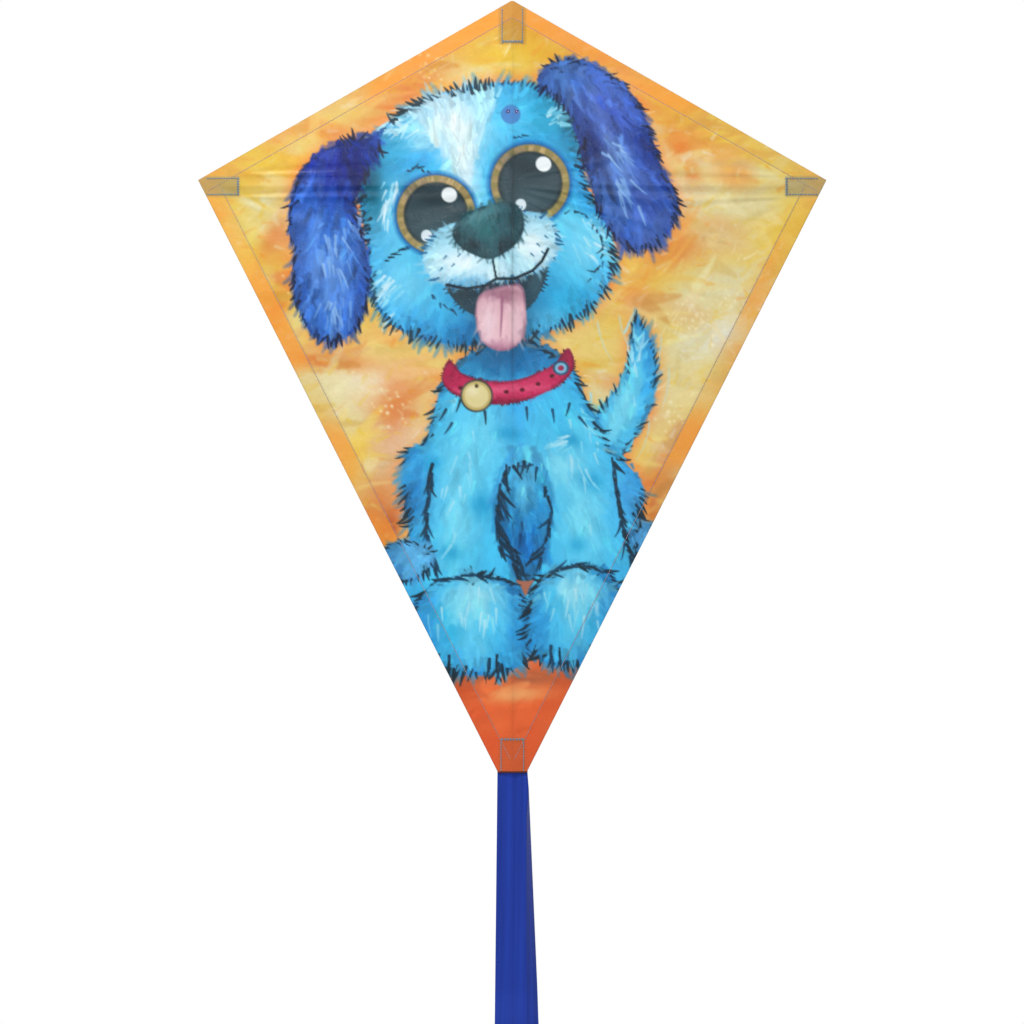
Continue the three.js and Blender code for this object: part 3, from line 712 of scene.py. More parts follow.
class Form:
    """A closed shape on the canvas: its outline, the window round it and the samples inside."""

    def __init__(self, canvas, outline):
        self.canvas = canvas
        self.outline = outline
        self.where = canvas.window(outline.min(0) - 2, outline.max(0) + 2)
        self.mask = np.zeros(canvas.rgb.shape[:2], np.float32)
        following = np.roll(outline, -1, 0)
        for row in range(self.where[0].start, self.where[0].stop):
            d = canvas.d[row]
            crossing = (outline[:, 1] <= d) != (following[:, 1] <= d)
            a, b = outline[crossing], following[crossing]
            cuts = np.sort(a[:, 0] + (d - a[:, 1]) * (b[:, 0] - a[:, 0]) / (b[:, 1] - a[:, 1]))
            for left, right in zip(*(np.searchsorted(canvas.x, cuts[start::2]) for start in (0, 1))):
                self.mask[row, left:right] = 1
        self.mask[self.where] = blurred(self.mask[self.where], 1, 1)

    def lay(self, colour, blots=(), opacity=1.0):
        """An even colour, and soft blots kept inside the form."""
        self.canvas.blend(self.where, self.mask[self.where] * opacity, colour)
        for blot in blots:
            self.canvas.glow(*blot, form=self)

    def fur(self, source, spacing, length, width, tone=0.1, spread=0.3, opacity=0.7, soft=PAINT_PITCH):
        """Hairs that grow away from source, each a little lighter or darker than what is under it."""
        canvas, rng = self.canvas, self.canvas.rng
        rows, columns = np.nonzero(self.mask[self.where] > 0.5)
        count = int(len(rows) * PAINT_PITCH ** 2 / spacing ** 2)
        for pick in rng.integers(0, len(rows), count):
            x = canvas.x[self.where[1].start + columns[pick]]
            d = canvas.d[self.where[0].start + rows[pick]]
            angle = math.atan2(d - source[1], x - source[0]) + rng.normal(0, spread)
            tint = np.clip(canvas.at(x, d) * (1 + rng.normal(0, tone)) + rng.normal(0, tone / 3), 0, 1)
            canvas.stroke(x - length / 2 * math.cos(angle), d - length / 2 * math.sin(angle), angle,
                          length * rng.uniform(0.6, 1.4), width * rng.uniform(0.6, 1.3), tint,
                          rng.normal(0, 0.15), opacity, soft)

    def rim(self, colour, width, opacity):
        """Shades the form towards its outline, more in some places than in others."""
        inner = blurred(self.mask, round(width / PAINT_PITCH))[self.where]
        patchy = 0.3 + 0.7 * self.canvas.cloud(16, 16)[self.where]
        near = 1 - smoothstep(inner, 0.5, 0.97)
        self.canvas.blend(self.where, self.mask[self.where] * near * opacity * patchy, colour)

    def coat(self, source, tone):
        """Broad soft brush strokes with a few fine hairs over them."""
        self.fur(source, 4.6, 22, 7.0, tone, 0.25, 0.55, 3.0)
        self.fur(source, 8.0, 14, 1.9, 1.6 * tone, 0.25, 0.6, 1.0)

    def ragged_edge(self, source, ink, length, width, step, follow=0.5, skip=0.0, reach=0.3):
        """Ink strokes along the outline, with tufts of the colours inside laid over them."""
        canvas, rng = self.canvas, self.canvas.rng
        line = self.outline
        ahead, behind = np.roll(line, -1, 0), np.roll(line, 1, 0)
        turning = np.sign(np.sum(line[:, 0] * ahead[:, 1] - ahead[:, 0] * line[:, 1]))
        normal = (ahead - behind)[:, ::-1] * (turning, -turning)
        normal /= np.linalg.norm(normal, axis=1)[:, None]
        travelled = np.hstack([0, np.cumsum(np.linalg.norm(ahead - line, axis=1))])
        first, second = rng.uniform(0, 2 * math.pi, 2)
        hairs = []
        for distance in np.arange(rng.uniform(0, step), travelled[-1], step):
            i = np.searchsorted(travelled, distance, "right") - 1
            x, d = lerp(line[i], ahead[i], (distance - travelled[i]) / (travelled[i + 1] - travelled[i]))
            away = np.array([x - source[0], d - source[1]])
            heading = normal[i] * (1 - follow) + away / max(np.hypot(*away), 1e-6) * follow
            heading += normal[i] * max(0, 0.3 - heading @ normal[i])
            surge = 0.5 + 0.5 * math.sin(distance / 6 + 3 * math.sin(distance / 29 + first) + second)
            angle = math.atan2(heading[1], heading[0]) + rng.normal(0, 0.22)
            for back in (1.2, 0.8, 0.4):
                root = canvas.spot(x - back * length * math.cos(angle), d - back * length * math.sin(angle))
                if self.mask[root] > 0.5:
                    break
            hairs.append((x, d, angle, surge, canvas.rgb[root].copy()))
        for x, d, angle, surge, _ in hairs:
            if rng.random() < skip * 2 * (1 - surge):
                continue
            long = length * (0.5 + 0.8 * surge) * rng.uniform(0.7, 1.3)
            back = 0.5 * long
            tone = lerp(np.array(ink), INKS[1], 0.5 * rng.random() * (1 - surge))
            canvas.stroke(x - back * math.cos(angle), d - back * math.sin(angle), angle, long,
                          width * (0.5 + 0.7 * surge) * rng.uniform(0.8, 1.2), tone, rng.normal(0, 0.2),
                          0.9, 0.8)
        for x, d, angle, surge, root in hairs:
            angle += rng.normal(0, 0.2)
            back = length * rng.uniform(0.9, 1.3)
            x, d = x - back * math.cos(angle), d - back * math.sin(angle)
            out = length * (rng.uniform(-0.4, reach) + 0.25 * (surge - 0.5))
            canvas.stroke(x, d, angle, back + out, width * rng.uniform(0.8, 1.5),
                          np.clip(root * rng.uniform(0.82, 1.1), 0, 1), rng.normal(0, 0.15), 0.85, 1.0)


# ---------------------------------------------------------------- the print

INK = (0.05, 0.15, 0.20)
INKS = np.array((INK, (0.03, 0.32, 0.52)))
NIGHT = (0.04, 0.08, 0.20)
FUR = (0.25, 0.755, 0.955)
SNOW = (0.90, 0.97, 1.0)
ICE = (0.50, 0.87, 0.97)
FROST = (0.70, 0.91, 0.98)
AZURE = (0.13, 0.60, 0.90)
DEEP = (0.02, 0.39, 0.69)
CYAN = (0.04, 0.67, 0.86)
INDIGO = (0.07, 0.18, 0.54)
VIOLET = (0.19, 0.37, 0.71)
PERIWINKLE = (0.37, 0.57, 0.86)
AMBER = (0.95, 0.76, 0.28)
GOLD = (0.96, 0.80, 0.44)
STRAW = (0.93, 0.87, 0.62)
EMBER = (0.90, 0.45, 0.24)
RUST = (0.74, 0.32, 0.20)
CREAM = (0.98, 0.93, 0.76)
WINE = (0.50, 0.05, 0.20)

GREAT_FORMS = ("tail", "body", "left_ear", "right_ear", "head")

OUTLINES = {   # x and d of a few points each
    "tail": (
        (84, 424), (96, 402), (110, 384), (118, 358), (121, 336), (125, 319), (133, 328), (143, 354),
        (145, 384), (136, 416), (120, 444), (102, 462)),
    "body": (
        (-60, 372), (-74, 398), (-81, 424), (-88, 444), (-106, 456), (-111, 486), (-106, 516), (-104, 548),
        (-124, 584), (-120, 640), (0, 650), (120, 640), (136, 584), (122, 550), (124, 532), (132, 510),
        (130, 486), (114, 466), (96, 448), (84, 424), (72, 398), (58, 368), (0, 340)),
    "left_ear": (
        (-132, 142), (-158, 139), (-186, 148), (-208, 167), (-221, 194), (-225, 224), (-219, 252),
        (-221, 284), (-213, 316), (-200, 338), (-178, 342), (-158, 330), (-148, 302), (-146, 270),
        (-152, 240), (-160, 208), (-150, 176)),
    "right_ear": (
        (26, 80), (42, 64), (68, 61), (98, 74), (124, 100), (140, 134), (150, 168), (166, 203), (160, 230),
        (136, 249), (112, 246), (93, 220), (80, 184), (70, 146), (60, 116), (46, 98)),
    "head": (
        (-44, 87), (-4, 82), (32, 88), (56, 110), (68, 146), (74, 186), (94, 222), (103, 262), (84, 304),
        (48, 328), (-16, 345), (-68, 345), (-112, 332), (-136, 310), (-143, 284), (-146, 248), (-152, 212),
        (-156, 178), (-139, 138), (-110, 111), (-80, 96)),
    "leg_gap": (
        (-16, 486), (-6, 462), (8, 452), (24, 458), (36, 478), (41, 512), (36, 548), (26, 576), (13, 596),
        (1, 578), (-12, 546), (-19, 516)),
    "left_hind": (
        (-128, 552), (-112, 546), (-92, 548), (-80, 560), (-86, 576), (-106, 586), (-124, 584)),
    "right_hind": (
        (124, 538), (136, 528), (152, 534), (154, 556), (140, 566), (126, 558)),
    "between_paws": (
        (4, 584), (13, 585), (22, 584), (18, 590), (13, 600), (9, 591)),
    "blaze": (
        (-100, 104), (-60, 92), (-18, 92), (-28, 126), (-40, 166), (-48, 194), (-58, 168), (-82, 134)),
    "muzzle": (
        (-34, 216), (4, 212), (32, 216), (46, 234), (44, 258), (22, 274), (-8, 282), (-22, 284), (-50, 290),
        (-80, 280), (-90, 256), (-76, 232), (-54, 222)),
    "mouth": (
        (-66, 286), (-42, 288), (-16, 278), (10, 276), (28, 262), (36, 258), (32, 284), (16, 310),
        (-12, 322), (-40, 316), (-58, 302)),
    "tongue": (
        (-34, 298), (-20, 290), (-4, 286), (10, 288), (14, 312), (12, 336), (0, 350), (-16, 352),
        (-31, 342), (-37, 320)),
    "nose": (
        (-60, 234), (-52, 218), (-32, 208), (-6, 202), (8, 210), (12, 226), (6, 242), (-8, 254), (-24, 260),
        (-42, 254), (-54, 246)),
    "collar": (
        (-64, 362), (-50, 376), (-20, 384), (12, 380), (42, 366), (56, 350), (62, 368), (48, 386),
        (14, 402), (-22, 406), (-54, 398), (-70, 384)),
}

BLOTS = {   # x, d, across, down, colour, strength and tilt, in the order they are laid
    "ground": (
    (-170, 400, 60, 26, STRAW, 0.7, 0.5), (-120, 480, 34, 60, STRAW, 0.7, 0.3),
    (-136, 384, 36, 22, (1.0, 0.90, 0.68), 0.8, 0.2), (-116, 440, 22, 34, (1.0, 0.90, 0.70), 0.7, 0.3),
    (-262, 252, 18, 34, (0.98, 0.80, 0.28), 0.8, 0.5), (-232, 296, 12, 34, (0.98, 0.55, 0.20), 0.8, 0.45),
    (-216, 330, 20, 14, (0.99, 0.86, 0.46), 0.7, 0.3), (262, 262, 22, 22, (0.98, 0.76, 0.22), 0.8, 0.4),
    (226, 262, 34, 10, (0.98, 0.82, 0.38), 0.7, -0.2), (132, 446, 12, 34, (0.99, 0.76, 0.20), 0.8, 0.35),
    (200, 236, 26, 10, (0.93, 0.88, 0.62), 0.6, 0.1), (-96, 470, 12, 30, (0.98, 0.56, 0.26), 0.6, 0.3),
    (-160, 460, 14, 26, (0.99, 0.78, 0.30), 0.7, 0.45), (120, 300, 26, 16, (0.97, 0.58, 0.32), 0.6, -0.4),
    (0, 24, 70, 26, (0.94, 0.62, 0.16), 0.75), (40, 56, 50, 12, (0.95, 0.66, 0.22), 0.6, 0.5),
    (-60, 60, 50, 12, (0.96, 0.72, 0.24), 0.6, -0.5), (200, 290, 70, 26, STRAW, 0.8, -0.4),
    (150, 420, 30, 60, STRAW, 0.7, 0.4), (-240, 225, 40, 30, STRAW, 0.7, 0.2),
    (245, 205, 60, 22, STRAW, 0.8, -0.1), (180, 190, 34, 30, STRAW, 0.7, 0.2),
    (-60, 62, 60, 12, STRAW, 0.6, -0.5), (190, 345, 40, 30, STRAW, 0.7, -0.6),
    (-200, 300, 26, 40, STRAW, 0.6, 0.2), (70, 42, 40, 10, STRAW, 0.6, 0.5), (-20, 52, 50, 14, AMBER, 0.8),
    (-112, 96, 60, 16, EMBER, 0.7, -0.6), (96, 62, 60, 14, EMBER, 0.6, 0.6),
    (176, 168, 10, 22, EMBER, 0.6, -0.5), (290, 225, 26, 40, AMBER, 0.8, 0.3),
    (170, 150, 12, 30, (0.96, 0.52, 0.24), 0.7, -0.4), (160, 244, 26, 18, (0.95, 0.54, 0.28), 0.7, -0.4),
    (238, 150, 50, 9, AMBER, 0.8, 0.5), (262, 300, 20, 50, (0.96, 0.62, 0.25), 0.7, 0.45),
    (215, 335, 50, 14, (0.93, 0.90, 0.72), 0.7, -0.3), (-236, 280, 13, 60, EMBER, 0.5, 0.1),
    (-186, 362, 46, 10, EMBER, 0.7, 0.1), (-118, 408, 22, 40, EMBER, 0.7, 0.3),
    (146, 490, 18, 50, EMBER, 0.7, 0.4), (-142, 520, 22, 50, EMBER, 0.8, 0.4),
    (-124, 532, 12, 22, RUST, 0.8, 0.3), (140, 512, 8, 22, RUST, 0.7, -0.3),
    (160, 258, 30, 12, EMBER, 0.5, -0.5), (-244, 240, 10, 26, EMBER, 0.5, 0.5)),
    "tail": (
        (138, 384, 12, 60, AZURE, 0.9, -0.05), (112, 410, 14, 50, ICE, 0.9, 0.45),
        (128, 330, 9, 18, ICE, 0.6, 0.2)),
    "body": (
        (-30, 440, 44, 50, ICE, 0.6, 0.1), (-56, 520, 22, 60, ICE, 0.8, 0.05),
        (72, 520, 24, 60, ICE, 0.8, -0.05), (0, 366, 66, 22, (0.02, 0.36, 0.60), 0.9, -0.1),
        (-96, 496, 12, 40, (0.10, 0.47, 0.76), 0.9), (118, 504, 12, 34, (0.22, 0.60, 0.86), 0.9),
        (4, 410, 14, 40, AZURE, 0.6), (84, 430, 30, 7, ICE, 0.7, -0.5),
        (50, 470, 22, 14, (0.62, 0.90, 0.97), 0.7, -0.5)),
    "leg_gap": (
        (14, 486, 15, 30, (0.34, 0.76, 0.95), 0.9, 0.1), (14, 554, 20, 24, (0.03, 0.40, 0.70), 0.9),
        (13, 590, 12, 12, INK, 0.8), (-12, 530, 8, 34, (0.02, 0.36, 0.58), 0.8, 0.1)),
    "left_ear": (
        (-172, 168, 52, 36, (0.05, 0.12, 0.54), 1, 0.2), (-214, 236, 12, 50, VIOLET, 0.8),
        (-190, 268, 22, 36, (0.35, 0.55, 0.86), 0.9, 0.1), (-178, 304, 18, 30, (0.29, 0.50, 0.84), 0.9),
        (-154, 196, 11, 34, (0.02, 0.06, 0.22), 0.95, -0.2),
        (-204, 172, 14, 8, (0.18, 0.30, 0.62), 0.6, 0.6), (-154, 290, 9, 40, VIOLET, 0.8)),
    "right_ear": (
        (60, 84, 36, 18, (0.27, 0.50, 0.78), 0.8, 0.5), (102, 194, 18, 34, (0.36, 0.58, 0.90), 0.7, -0.3),
        (96, 112, 22, 40, (0.28, 0.38, 0.76), 0.8, -0.6), (112, 178, 22, 24, PERIWINKLE, 0.8, 0.6),
        (136, 206, 18, 36, (0.24, 0.36, 0.74), 0.8, -0.4), (84, 152, 10, 44, (0.05, 0.10, 0.32), 0.9, -0.4),
        (132, 150, 12, 36, INDIGO, 0.8, -0.4), (144, 234, 26, 8, VIOLET, 0.6, 0.2),
        (104, 150, 6, 34, (0.50, 0.64, 0.90), 0.6, -0.4)),
    "head": (
        (-128, 170, 18, 50, (0.05, 0.50, 0.66), 0.8, 0.1), (46, 122, 22, 34, (0.05, 0.56, 0.68), 0.8, -0.3),
        (-66, 122, 44, 30, SNOW, 1, 0.1), (-50, 168, 15, 46, SNOW, 0.9, -0.25), (14, 116, 30, 22, FUR, 0.7),
        (-118, 226, 20, 34, ICE, 0.5), (-112, 290, 30, 24, ICE, 0.6, 0.5),
        (-118, 314, 34, 14, AZURE, 0.7, 0.6), (-40, 338, 70, 12, DEEP, 0.8), (74, 262, 24, 34, ICE, 0.6),
        (56, 308, 30, 20, CYAN, 0.7, -0.6), (62, 226, 26, 12, ICE, 0.7, 0.3),
        (-96, 112, 20, 12, ICE, 0.6, 0.6), (-98, 166, 26, 12, AZURE, 0.6, -0.3),
        (22, 144, 26, 9, AZURE, 0.6, -0.1), (70, 180, 10, 40, AZURE, 0.7, -0.2),
        (-132, 250, 9, 50, AZURE, 0.6)),
    "blaze": (
        (-88, 110, 9, 26, (0.64, 0.86, 0.96), 0.7, -0.4), (-34, 112, 7, 34, (0.64, 0.88, 0.97), 0.7, 0.1)),
    "muzzle": (
        (-54, 264, 28, 14, SNOW, 0.95, -0.1), (22, 248, 18, 20, SNOW, 0.95, -0.6),
        (-18, 276, 22, 10, SNOW, 0.7, -0.2), (-46, 284, 30, 5, (0.28, 0.62, 0.82), 0.7)),
    "mouth": (
        (-14, 286, 50, 9, (0.07, 0.15, 0.19), 0.9, -0.2), (24, 284, 8, 20, (0.22, 0.38, 0.44), 0.7, 0.2)),
    "tongue": (
        (-12, 296, 26, 9, (0.52, 0.30, 0.40), 0.8), (-24, 326, 7, 22, (0.93, 0.82, 0.86), 0.8, 0.05),
        (4, 326, 6, 20, (0.92, 0.78, 0.83), 0.8, -0.05), (-12, 350, 26, 6, (0.66, 0.42, 0.54), 0.8)),
    "nose": (
        (-34, 216, 22, 8, (0.28, 0.52, 0.55), 0.9, -0.3), (-38, 246, 10, 6, (0.05, 0.14, 0.18), 0.9, 0.3),
        (-6, 244, 8, 7, (0.05, 0.14, 0.18), 0.9, -0.6), (0, 220, 8, 14, (0.08, 0.22, 0.26), 0.7),
        (-26, 232, 12, 10, (0.10, 0.42, 0.44), 0.6)),
    "collar": (
        (-20, 392, 60, 4, (0.92, 0.40, 0.54), 0.7, -0.05), (-20, 404, 60, 4, WINE, 0.8),
        (52, 362, 9, 14, WINE, 0.7), (-62, 376, 8, 12, (0.56, 0.06, 0.22), 0.7)),
}


LOW_START = 575                   # where the plain orange of the foot sets in
LOW_REACH = 90
HALO = 10                         # mm from a form that the ground's orange glow spreads
UPPER_SLANT = 0.49                # straight in from an edge, for each mm along x
LOWER_SLANT = 0.89
RIM_FADE = (15, 17)               # mm from the edge, where the folded hem ends


def paint_ground(c):
    """Orange and yellow washes, a glow round the puppy, brush marks and scratches, and a rim over the folded
    hem that is partly print and partly painted light.
    """
    rng = c.rng
    x, d = np.meshgrid(c.x, c.d)
    c.wash(1, (0.96, 0.81, 0.45))
    for cells, gain, least, opacity, colour in (
            ((110, 40, 0.35), 2.0, 0.75, 0.75, AMBER), ((52, 17, 0.4), 2.4, 1.2, 0.8, STRAW),
            ((60, 24, 0.3), 2.6, 1.5, 0.7, (0.95, 0.58, 0.30))):
        c.wash(np.clip(c.cloud(*cells) * gain - least, 0, 1) * opacity, colour)
    for blot in BLOTS["ground"]:
        c.glow(*blot)
    low = np.clip((d - LOW_START) / LOW_REACH, 0, 1)
    c.wash(low, (0.93, 0.385, 0.18))
    c.wash(low * c.cloud(30, 16) * 0.35, (0.95, 0.52, 0.28))
    c.glow(0, 682, 60, 9, (0.64, 0.36, 0.24), 0.9)
    c.glow(2, 699, 34, 8, (0.97, 0.70, 0.44), 0.85, -0.05)
    for _ in range(1500):
        x0, d0 = rng.uniform(-320, 310), rng.uniform(0, 780)
        colour = np.clip(c.at(x0, d0) * (1 + rng.normal(0, 0.035)) + rng.normal(0, 0.02), 0, 1)
        c.stroke(x0, d0, rng.normal(-0.3, 0.5), rng.uniform(18, 60), rng.uniform(5, 15), colour,
                 rng.normal(0, 0.15), 0.55, 3.5)
    for _ in range(2200):
        colour = (AMBER, (0.97, 0.60, 0.25), (0.97, 0.80, 0.34), STRAW, CREAM)[rng.integers(5)]
        c.stroke(rng.uniform(-320, 310), rng.uniform(0, 600), rng.normal(-0.3, 0.6), rng.uniform(4, 20),
                 rng.uniform(1.5, 6), colour, rng.normal(0, 0.2), rng.uniform(0.1, 0.4), 1.4)
    vivid = np.clip(GOLD + (c.rgb - GOLD) * (1.0, 1.15, 1.6), 0, 1) * (0.955, 1, 1)
    c.wash(1 - low, vivid)
    patches = np.clip(c.cloud(46, 46) * 1.9 - 0.15, 0, 1)
    for name in GREAT_FORMS:
        near = blurred(c.form(OUTLINES[name]).mask, round(HALO / PAINT_PITCH))
        c.wash(np.clip(2 * near, 0, 1) * patches * 0.75, (0.97, 0.47, 0.22))
    c.wash(c.cloud(3, 2.4) * 0.08, (0.80, 0.42, 0.12))
    edge = half_width(NOSE_Z - d * MM) / MM - np.abs(x)
    rim = np.where(d * MM < NOSE_Z - TIP_Z, edge * UPPER_SLANT, edge * LOWER_SLANT)
    patchy = np.maximum(smoothstep(c.cloud(70, 50), 0.40, 0.75), 1 - smoothstep(d, 50, 90))
    folded = 1 - smoothstep(rim, *RIM_FADE)
    # Painted light over the folded hem, against the shade of the doubled cloth, then an orange wash that is
    # partly print and partly painted light.
    c.wash(folded * (1 - low) * 0.25, (1.0, 0.88, 0.52))
    c.wash(folded * patchy * (1 - low) * 0.6, (1.0, 0.63, 0.20))
    for _ in range(34):
        x0, d0 = rng.uniform(-290, 280), rng.uniform(40, 560)
        heading, bend = rng.normal(-0.5, 0.6), rng.normal(0, 0.3)
        for _ in range(rng.integers(2, 7)):
            c.stroke(x0 + rng.normal(0, 7), d0 + rng.normal(0, 7), heading + rng.normal(0, 0.5),
                     rng.uniform(8, 34), rng.uniform(0.8, 2.4), CREAM, bend, rng.uniform(0.25, 0.65), 1.2)
    for x0, d0, bend in ((150, 336, 0.3), (158, 368, 0.25), (86, 322, -0.3), (108, 316, -0.3),
                         (138, 420, 0.4)):
        c.stroke(x0, d0, 1.5, 44, 2.4, (0.76, 0.86, 0.82), bend, 0.6, 1.2)
    for x0, d0 in ((-214, 288), (-200, 305), (176, 318), (222, 306), (196, 330), (-120, 410), (160, 420),
                   (-90, 70)):
        for _ in range(26):
            size = rng.uniform(0.6, 1.8)
            c.glow(rng.normal(x0, 12), rng.normal(d0, 9), size, size, CREAM, rng.uniform(0.3, 0.8))


def laid(c, name, colour, opacity=1.0):
    """A named form in its colour, with its blots over it."""
    form = c.form(OUTLINES[name])
    form.lay(colour, BLOTS.get(name, ()), opacity)
    return form


def light_hairs(c, tones, *places):
    """A few pale hairs scattered about each place: x, d, across, down, count and heading."""
    rng = c.rng
    for x, d, across, down, count, heading in places:
        for _ in range(count):
            colour = lerp(*np.array(tones), rng.random())
            c.stroke(rng.normal(x, across / 2), rng.normal(d, down / 2), heading + rng.normal(0, 0.2),
                     rng.uniform(10, 26), rng.uniform(1.6, 3.6), colour, rng.normal(0, 0.1), 0.75, 1.2)


def paint_tail(c):
    tail = laid(c, "tail", FUR)
    tail.rim(DEEP, 6, 0.7)
    tail.coat((96, 480), 0.05)
    light_hairs(c, (ICE, SNOW), (122, 366, 8, 40, 14, -1.4))
    tail.ragged_edge((92, 470), INK, 13, 3.4, 5.5, follow=0.85, skip=0.2, reach=0.35)


def paint_body(c):
    body = laid(c, "body", FUR)
    body.rim(DEEP, 7, 0.85)
    body.coat((0, 300), 0.035)
    for x, d, across, down, tilt in (
            (-80, 466, 9, 8, 0), (-32, 508, 12, 12, 0.2), (-62, 556, 12, 8, 0.3), (80, 484, 13, 10, 0.4),
            (-4, 436, 14, 6, 0.2), (60, 442, 11, 7, 0.4), (66, 548, 9, 9, 0)):
        c.glow(x, d, across, down, (0.03, 0.58, 0.80), 0.6, tilt, body)
    light_hairs(c, (ICE, FROST), (-50, 490, 22, 90, 16, 1.7), (74, 480, 20, 80, 16, 1.4))
    light_hairs(c, (ICE, SNOW), (60, 446, 22, 8, 9, 2.7))
    body.ragged_edge((0, 320), INK, 15, 4.2, 5.2, follow=0.8, skip=0.2, reach=0.3)
    laid(c, "leg_gap", (0.17, 0.58, 0.84), 0.75).coat((12, 400), 0.12)
    for line in (   # points, length, width, step and lean
            (((-6, 466), (-14, 494), (-17, 524), (-12, 556)), 22, 4.2, 3.4, -0.5),
            (((-8, 540), (0, 566), (10, 590)), 15, 4.2, 3.4, -0.3),
            (((32, 486), (40, 512), (36, 540), (28, 566)), 14, 3.6, 5, 0.2),
            (((2, 552), (12, 572), (22, 556)), 18, 3.2, 4, 0.3),
            (((-6, 470), (12, 462), (28, 470)), 15, 3.4, 5, 1.6),
            (((-80, 464), (-85, 500), (-86, 538), (-78, 572)), 18, 4.4, 3.6, 0.12),
            (((100, 456), (106, 500), (112, 540), (122, 566)), 17, 4.0, 4, -0.12)):
        c.comb(*line)
    for x, d in ((-66, 410), (-60, 424), (-52, 400), (-28, 412), (58, 404), (66, 418), (40, 410), (14, 408)):
        c.stroke(x, d, 1.57 - 0.006 * x + c.rng.normal(0, 0.2), 16, 3.2, lerp(*INKS, c.rng.random()),
                 0.1, 0.85, 1.0)
    for name, source in (("left_hind", (-70, 530)), ("right_hind", (110, 520))):
        hind = laid(c, name, (0.36, 0.72, 0.94))
        hind.rim(DEEP, 5, 0.8)
        hind.coat(source, 0.05)
        hind.ragged_edge(source, INK, 11, 3.4, 4.6, follow=0.6, skip=0.15, reach=0.1)
    laid(c, "between_paws", (0.68, 0.43, 0.34))


def paint_paw(c, side, centre, half):
    """A front paw that reaches half to each side of its centre. side is -1 on the left and 1 on the right."""
    x, d = centre
    outline = ((-0.70, -38), (0, -50), (0.70, -40), (1, -6), (0.98, 28), (0.62, 47), (0, 51), (-0.62, 47),
               (-1, 26), (-0.98, -8))
    blots = ((0, -18, 0.62, 22, ICE, 1), (-0.1 * side, -28, 0.45, 12, (0.64, 0.92, 0.99), 0.8),
             (0, 50, 0.9, 10, AZURE, 0.85), (0.74, 8, 0.18, 34, AZURE, 0.8), (-0.76, 8, 0.18, 34, AZURE, 0.8),
             (0.32 * side, 14, 0.2, 9, CYAN, 0.8, 0.5), (-0.5, -10, 0.16, 6, CYAN, 0.6),
             (0.05, 24, 0.3, 18, ICE, 0.5))
    paw = c.form([(x + half * dx, d + dd) for dx, dd in outline])
    paw.lay(FUR, [(x + dx * half, d + dd, across * half, *rest) for dx, dd, across, *rest in blots])
    paw.rim(DEEP, 9, 0.85)
    paw.coat((x, d - 70), 0.035)
    light_hairs(c, (ICE, (0.74, 0.93, 0.98)), (x, d - 16, half * 0.7, 26, 16, 1.6))
    paw.ragged_edge((x, d - 60), INK, 15, 4.4, 4.6, follow=0.75, skip=0.12, reach=0.2)
    c.comb(((x - half * 0.62, d - 43), (x, d - 52), (x + half * 0.62, d - 45)), 13, 3.6, 4, 0.2)
    for toe in (-0.52, -0.36, 0.30, 0.44):
        c.comb(((x + toe * half, d + 28), (x + toe * half + 2, d + 46)), 15, 3.4, 5, 0.1)


def paint_ears(c):
    tones = (PERIWINKLE, (0.64, 0.80, 0.96))
    for name, colour, source, tip, hairs in (
            ("left_ear", (0.15, 0.40, 0.76), (-160, 60), (-168, 90),
             ((-180, 252, 18, 22, 20, 1.25), (-184, 306, 18, 14, 16, 1.6), (-164, 218, 6, 14, 8, 1.0))),
            ("right_ear", VIOLET, (30, 0), (40, 40),
             ((112, 190, 10, 22, 18, 1.2), (104, 146, 14, 12, 10, 0.9)))):
        ear = laid(c, name, colour)
        ear.rim(INDIGO, 6, 0.8)
        ear.coat(source, 0.10)
        ear.fur(source, 9.0, 18, 6.0, 0.16, 0.2, 0.5, 2.0)
        light_hairs(c, tones, *hairs)
        ear.ragged_edge(tip, NIGHT, 14, 4.2, 4.6, follow=0.85, skip=0.12, reach=0.25)


def paint_head(c):
    head = laid(c, "head", FUR)
    head.rim(DEEP, 10, 0.8)
    head.coat((-24, 120), 0.04)
    for blot in ((-112, 284, 30, 28), (-130, 222, 18, 44), (72, 246, 22, 24), (40, 320, 26, 14)):
        c.glow(*blot, (0.48, 0.84, 0.98), 0.55, 0.1, head)
    c.glow(-141, 184, 11, 40, (0.02, 0.36, 0.46), 0.95, -0.05, head)
    c.glow(58, 128, 9, 30, (0.02, 0.38, 0.48), 0.9, -0.25, head)
    light_hairs(c, (ICE, SNOW), (-122, 196, 12, 34, 26, 1.9), (-124, 290, 16, 22, 22, 2.3),
                (-106, 122, 20, 12, 20, 2.6), (78, 236, 12, 20, 22, 0.8), (40, 112, 14, 14, 12, -0.6))
    blaze = laid(c, "blaze", SNOW, 0.5)
    blaze.fur((-46, 260), 5.0, 24, 5.0, 0.07, 0.25, 0.6, 2.0)
    blaze.fur((-46, 260), 6.0, 15, 1.8, 0.07, 0.25, 0.7)
    head.ragged_edge((-24, 130), INK, 14, 4.2, 4.8, follow=0.85, skip=0.15, reach=0.2)
    for line, length, lean in (
            (((-112, 172), (-96, 168), (-86, 171)), 8, 0.3), (((-2, 138), (14, 134)), 8, 0.3),
            (((-124, 256), (-104, 246)), 11, 0.2), (((-130, 262), (-118, 252)), 9, 0.9),
            (((80, 222), (92, 240), (92, 262), (80, 280)), 8, 0.5),
            (((-84, 292), (-72, 304), (-58, 312)), 8, 0.5), (((48, 216), (62, 212), (76, 216)), 8, 0.2)):
        c.comb(line, length, 2.6, 6, lean)


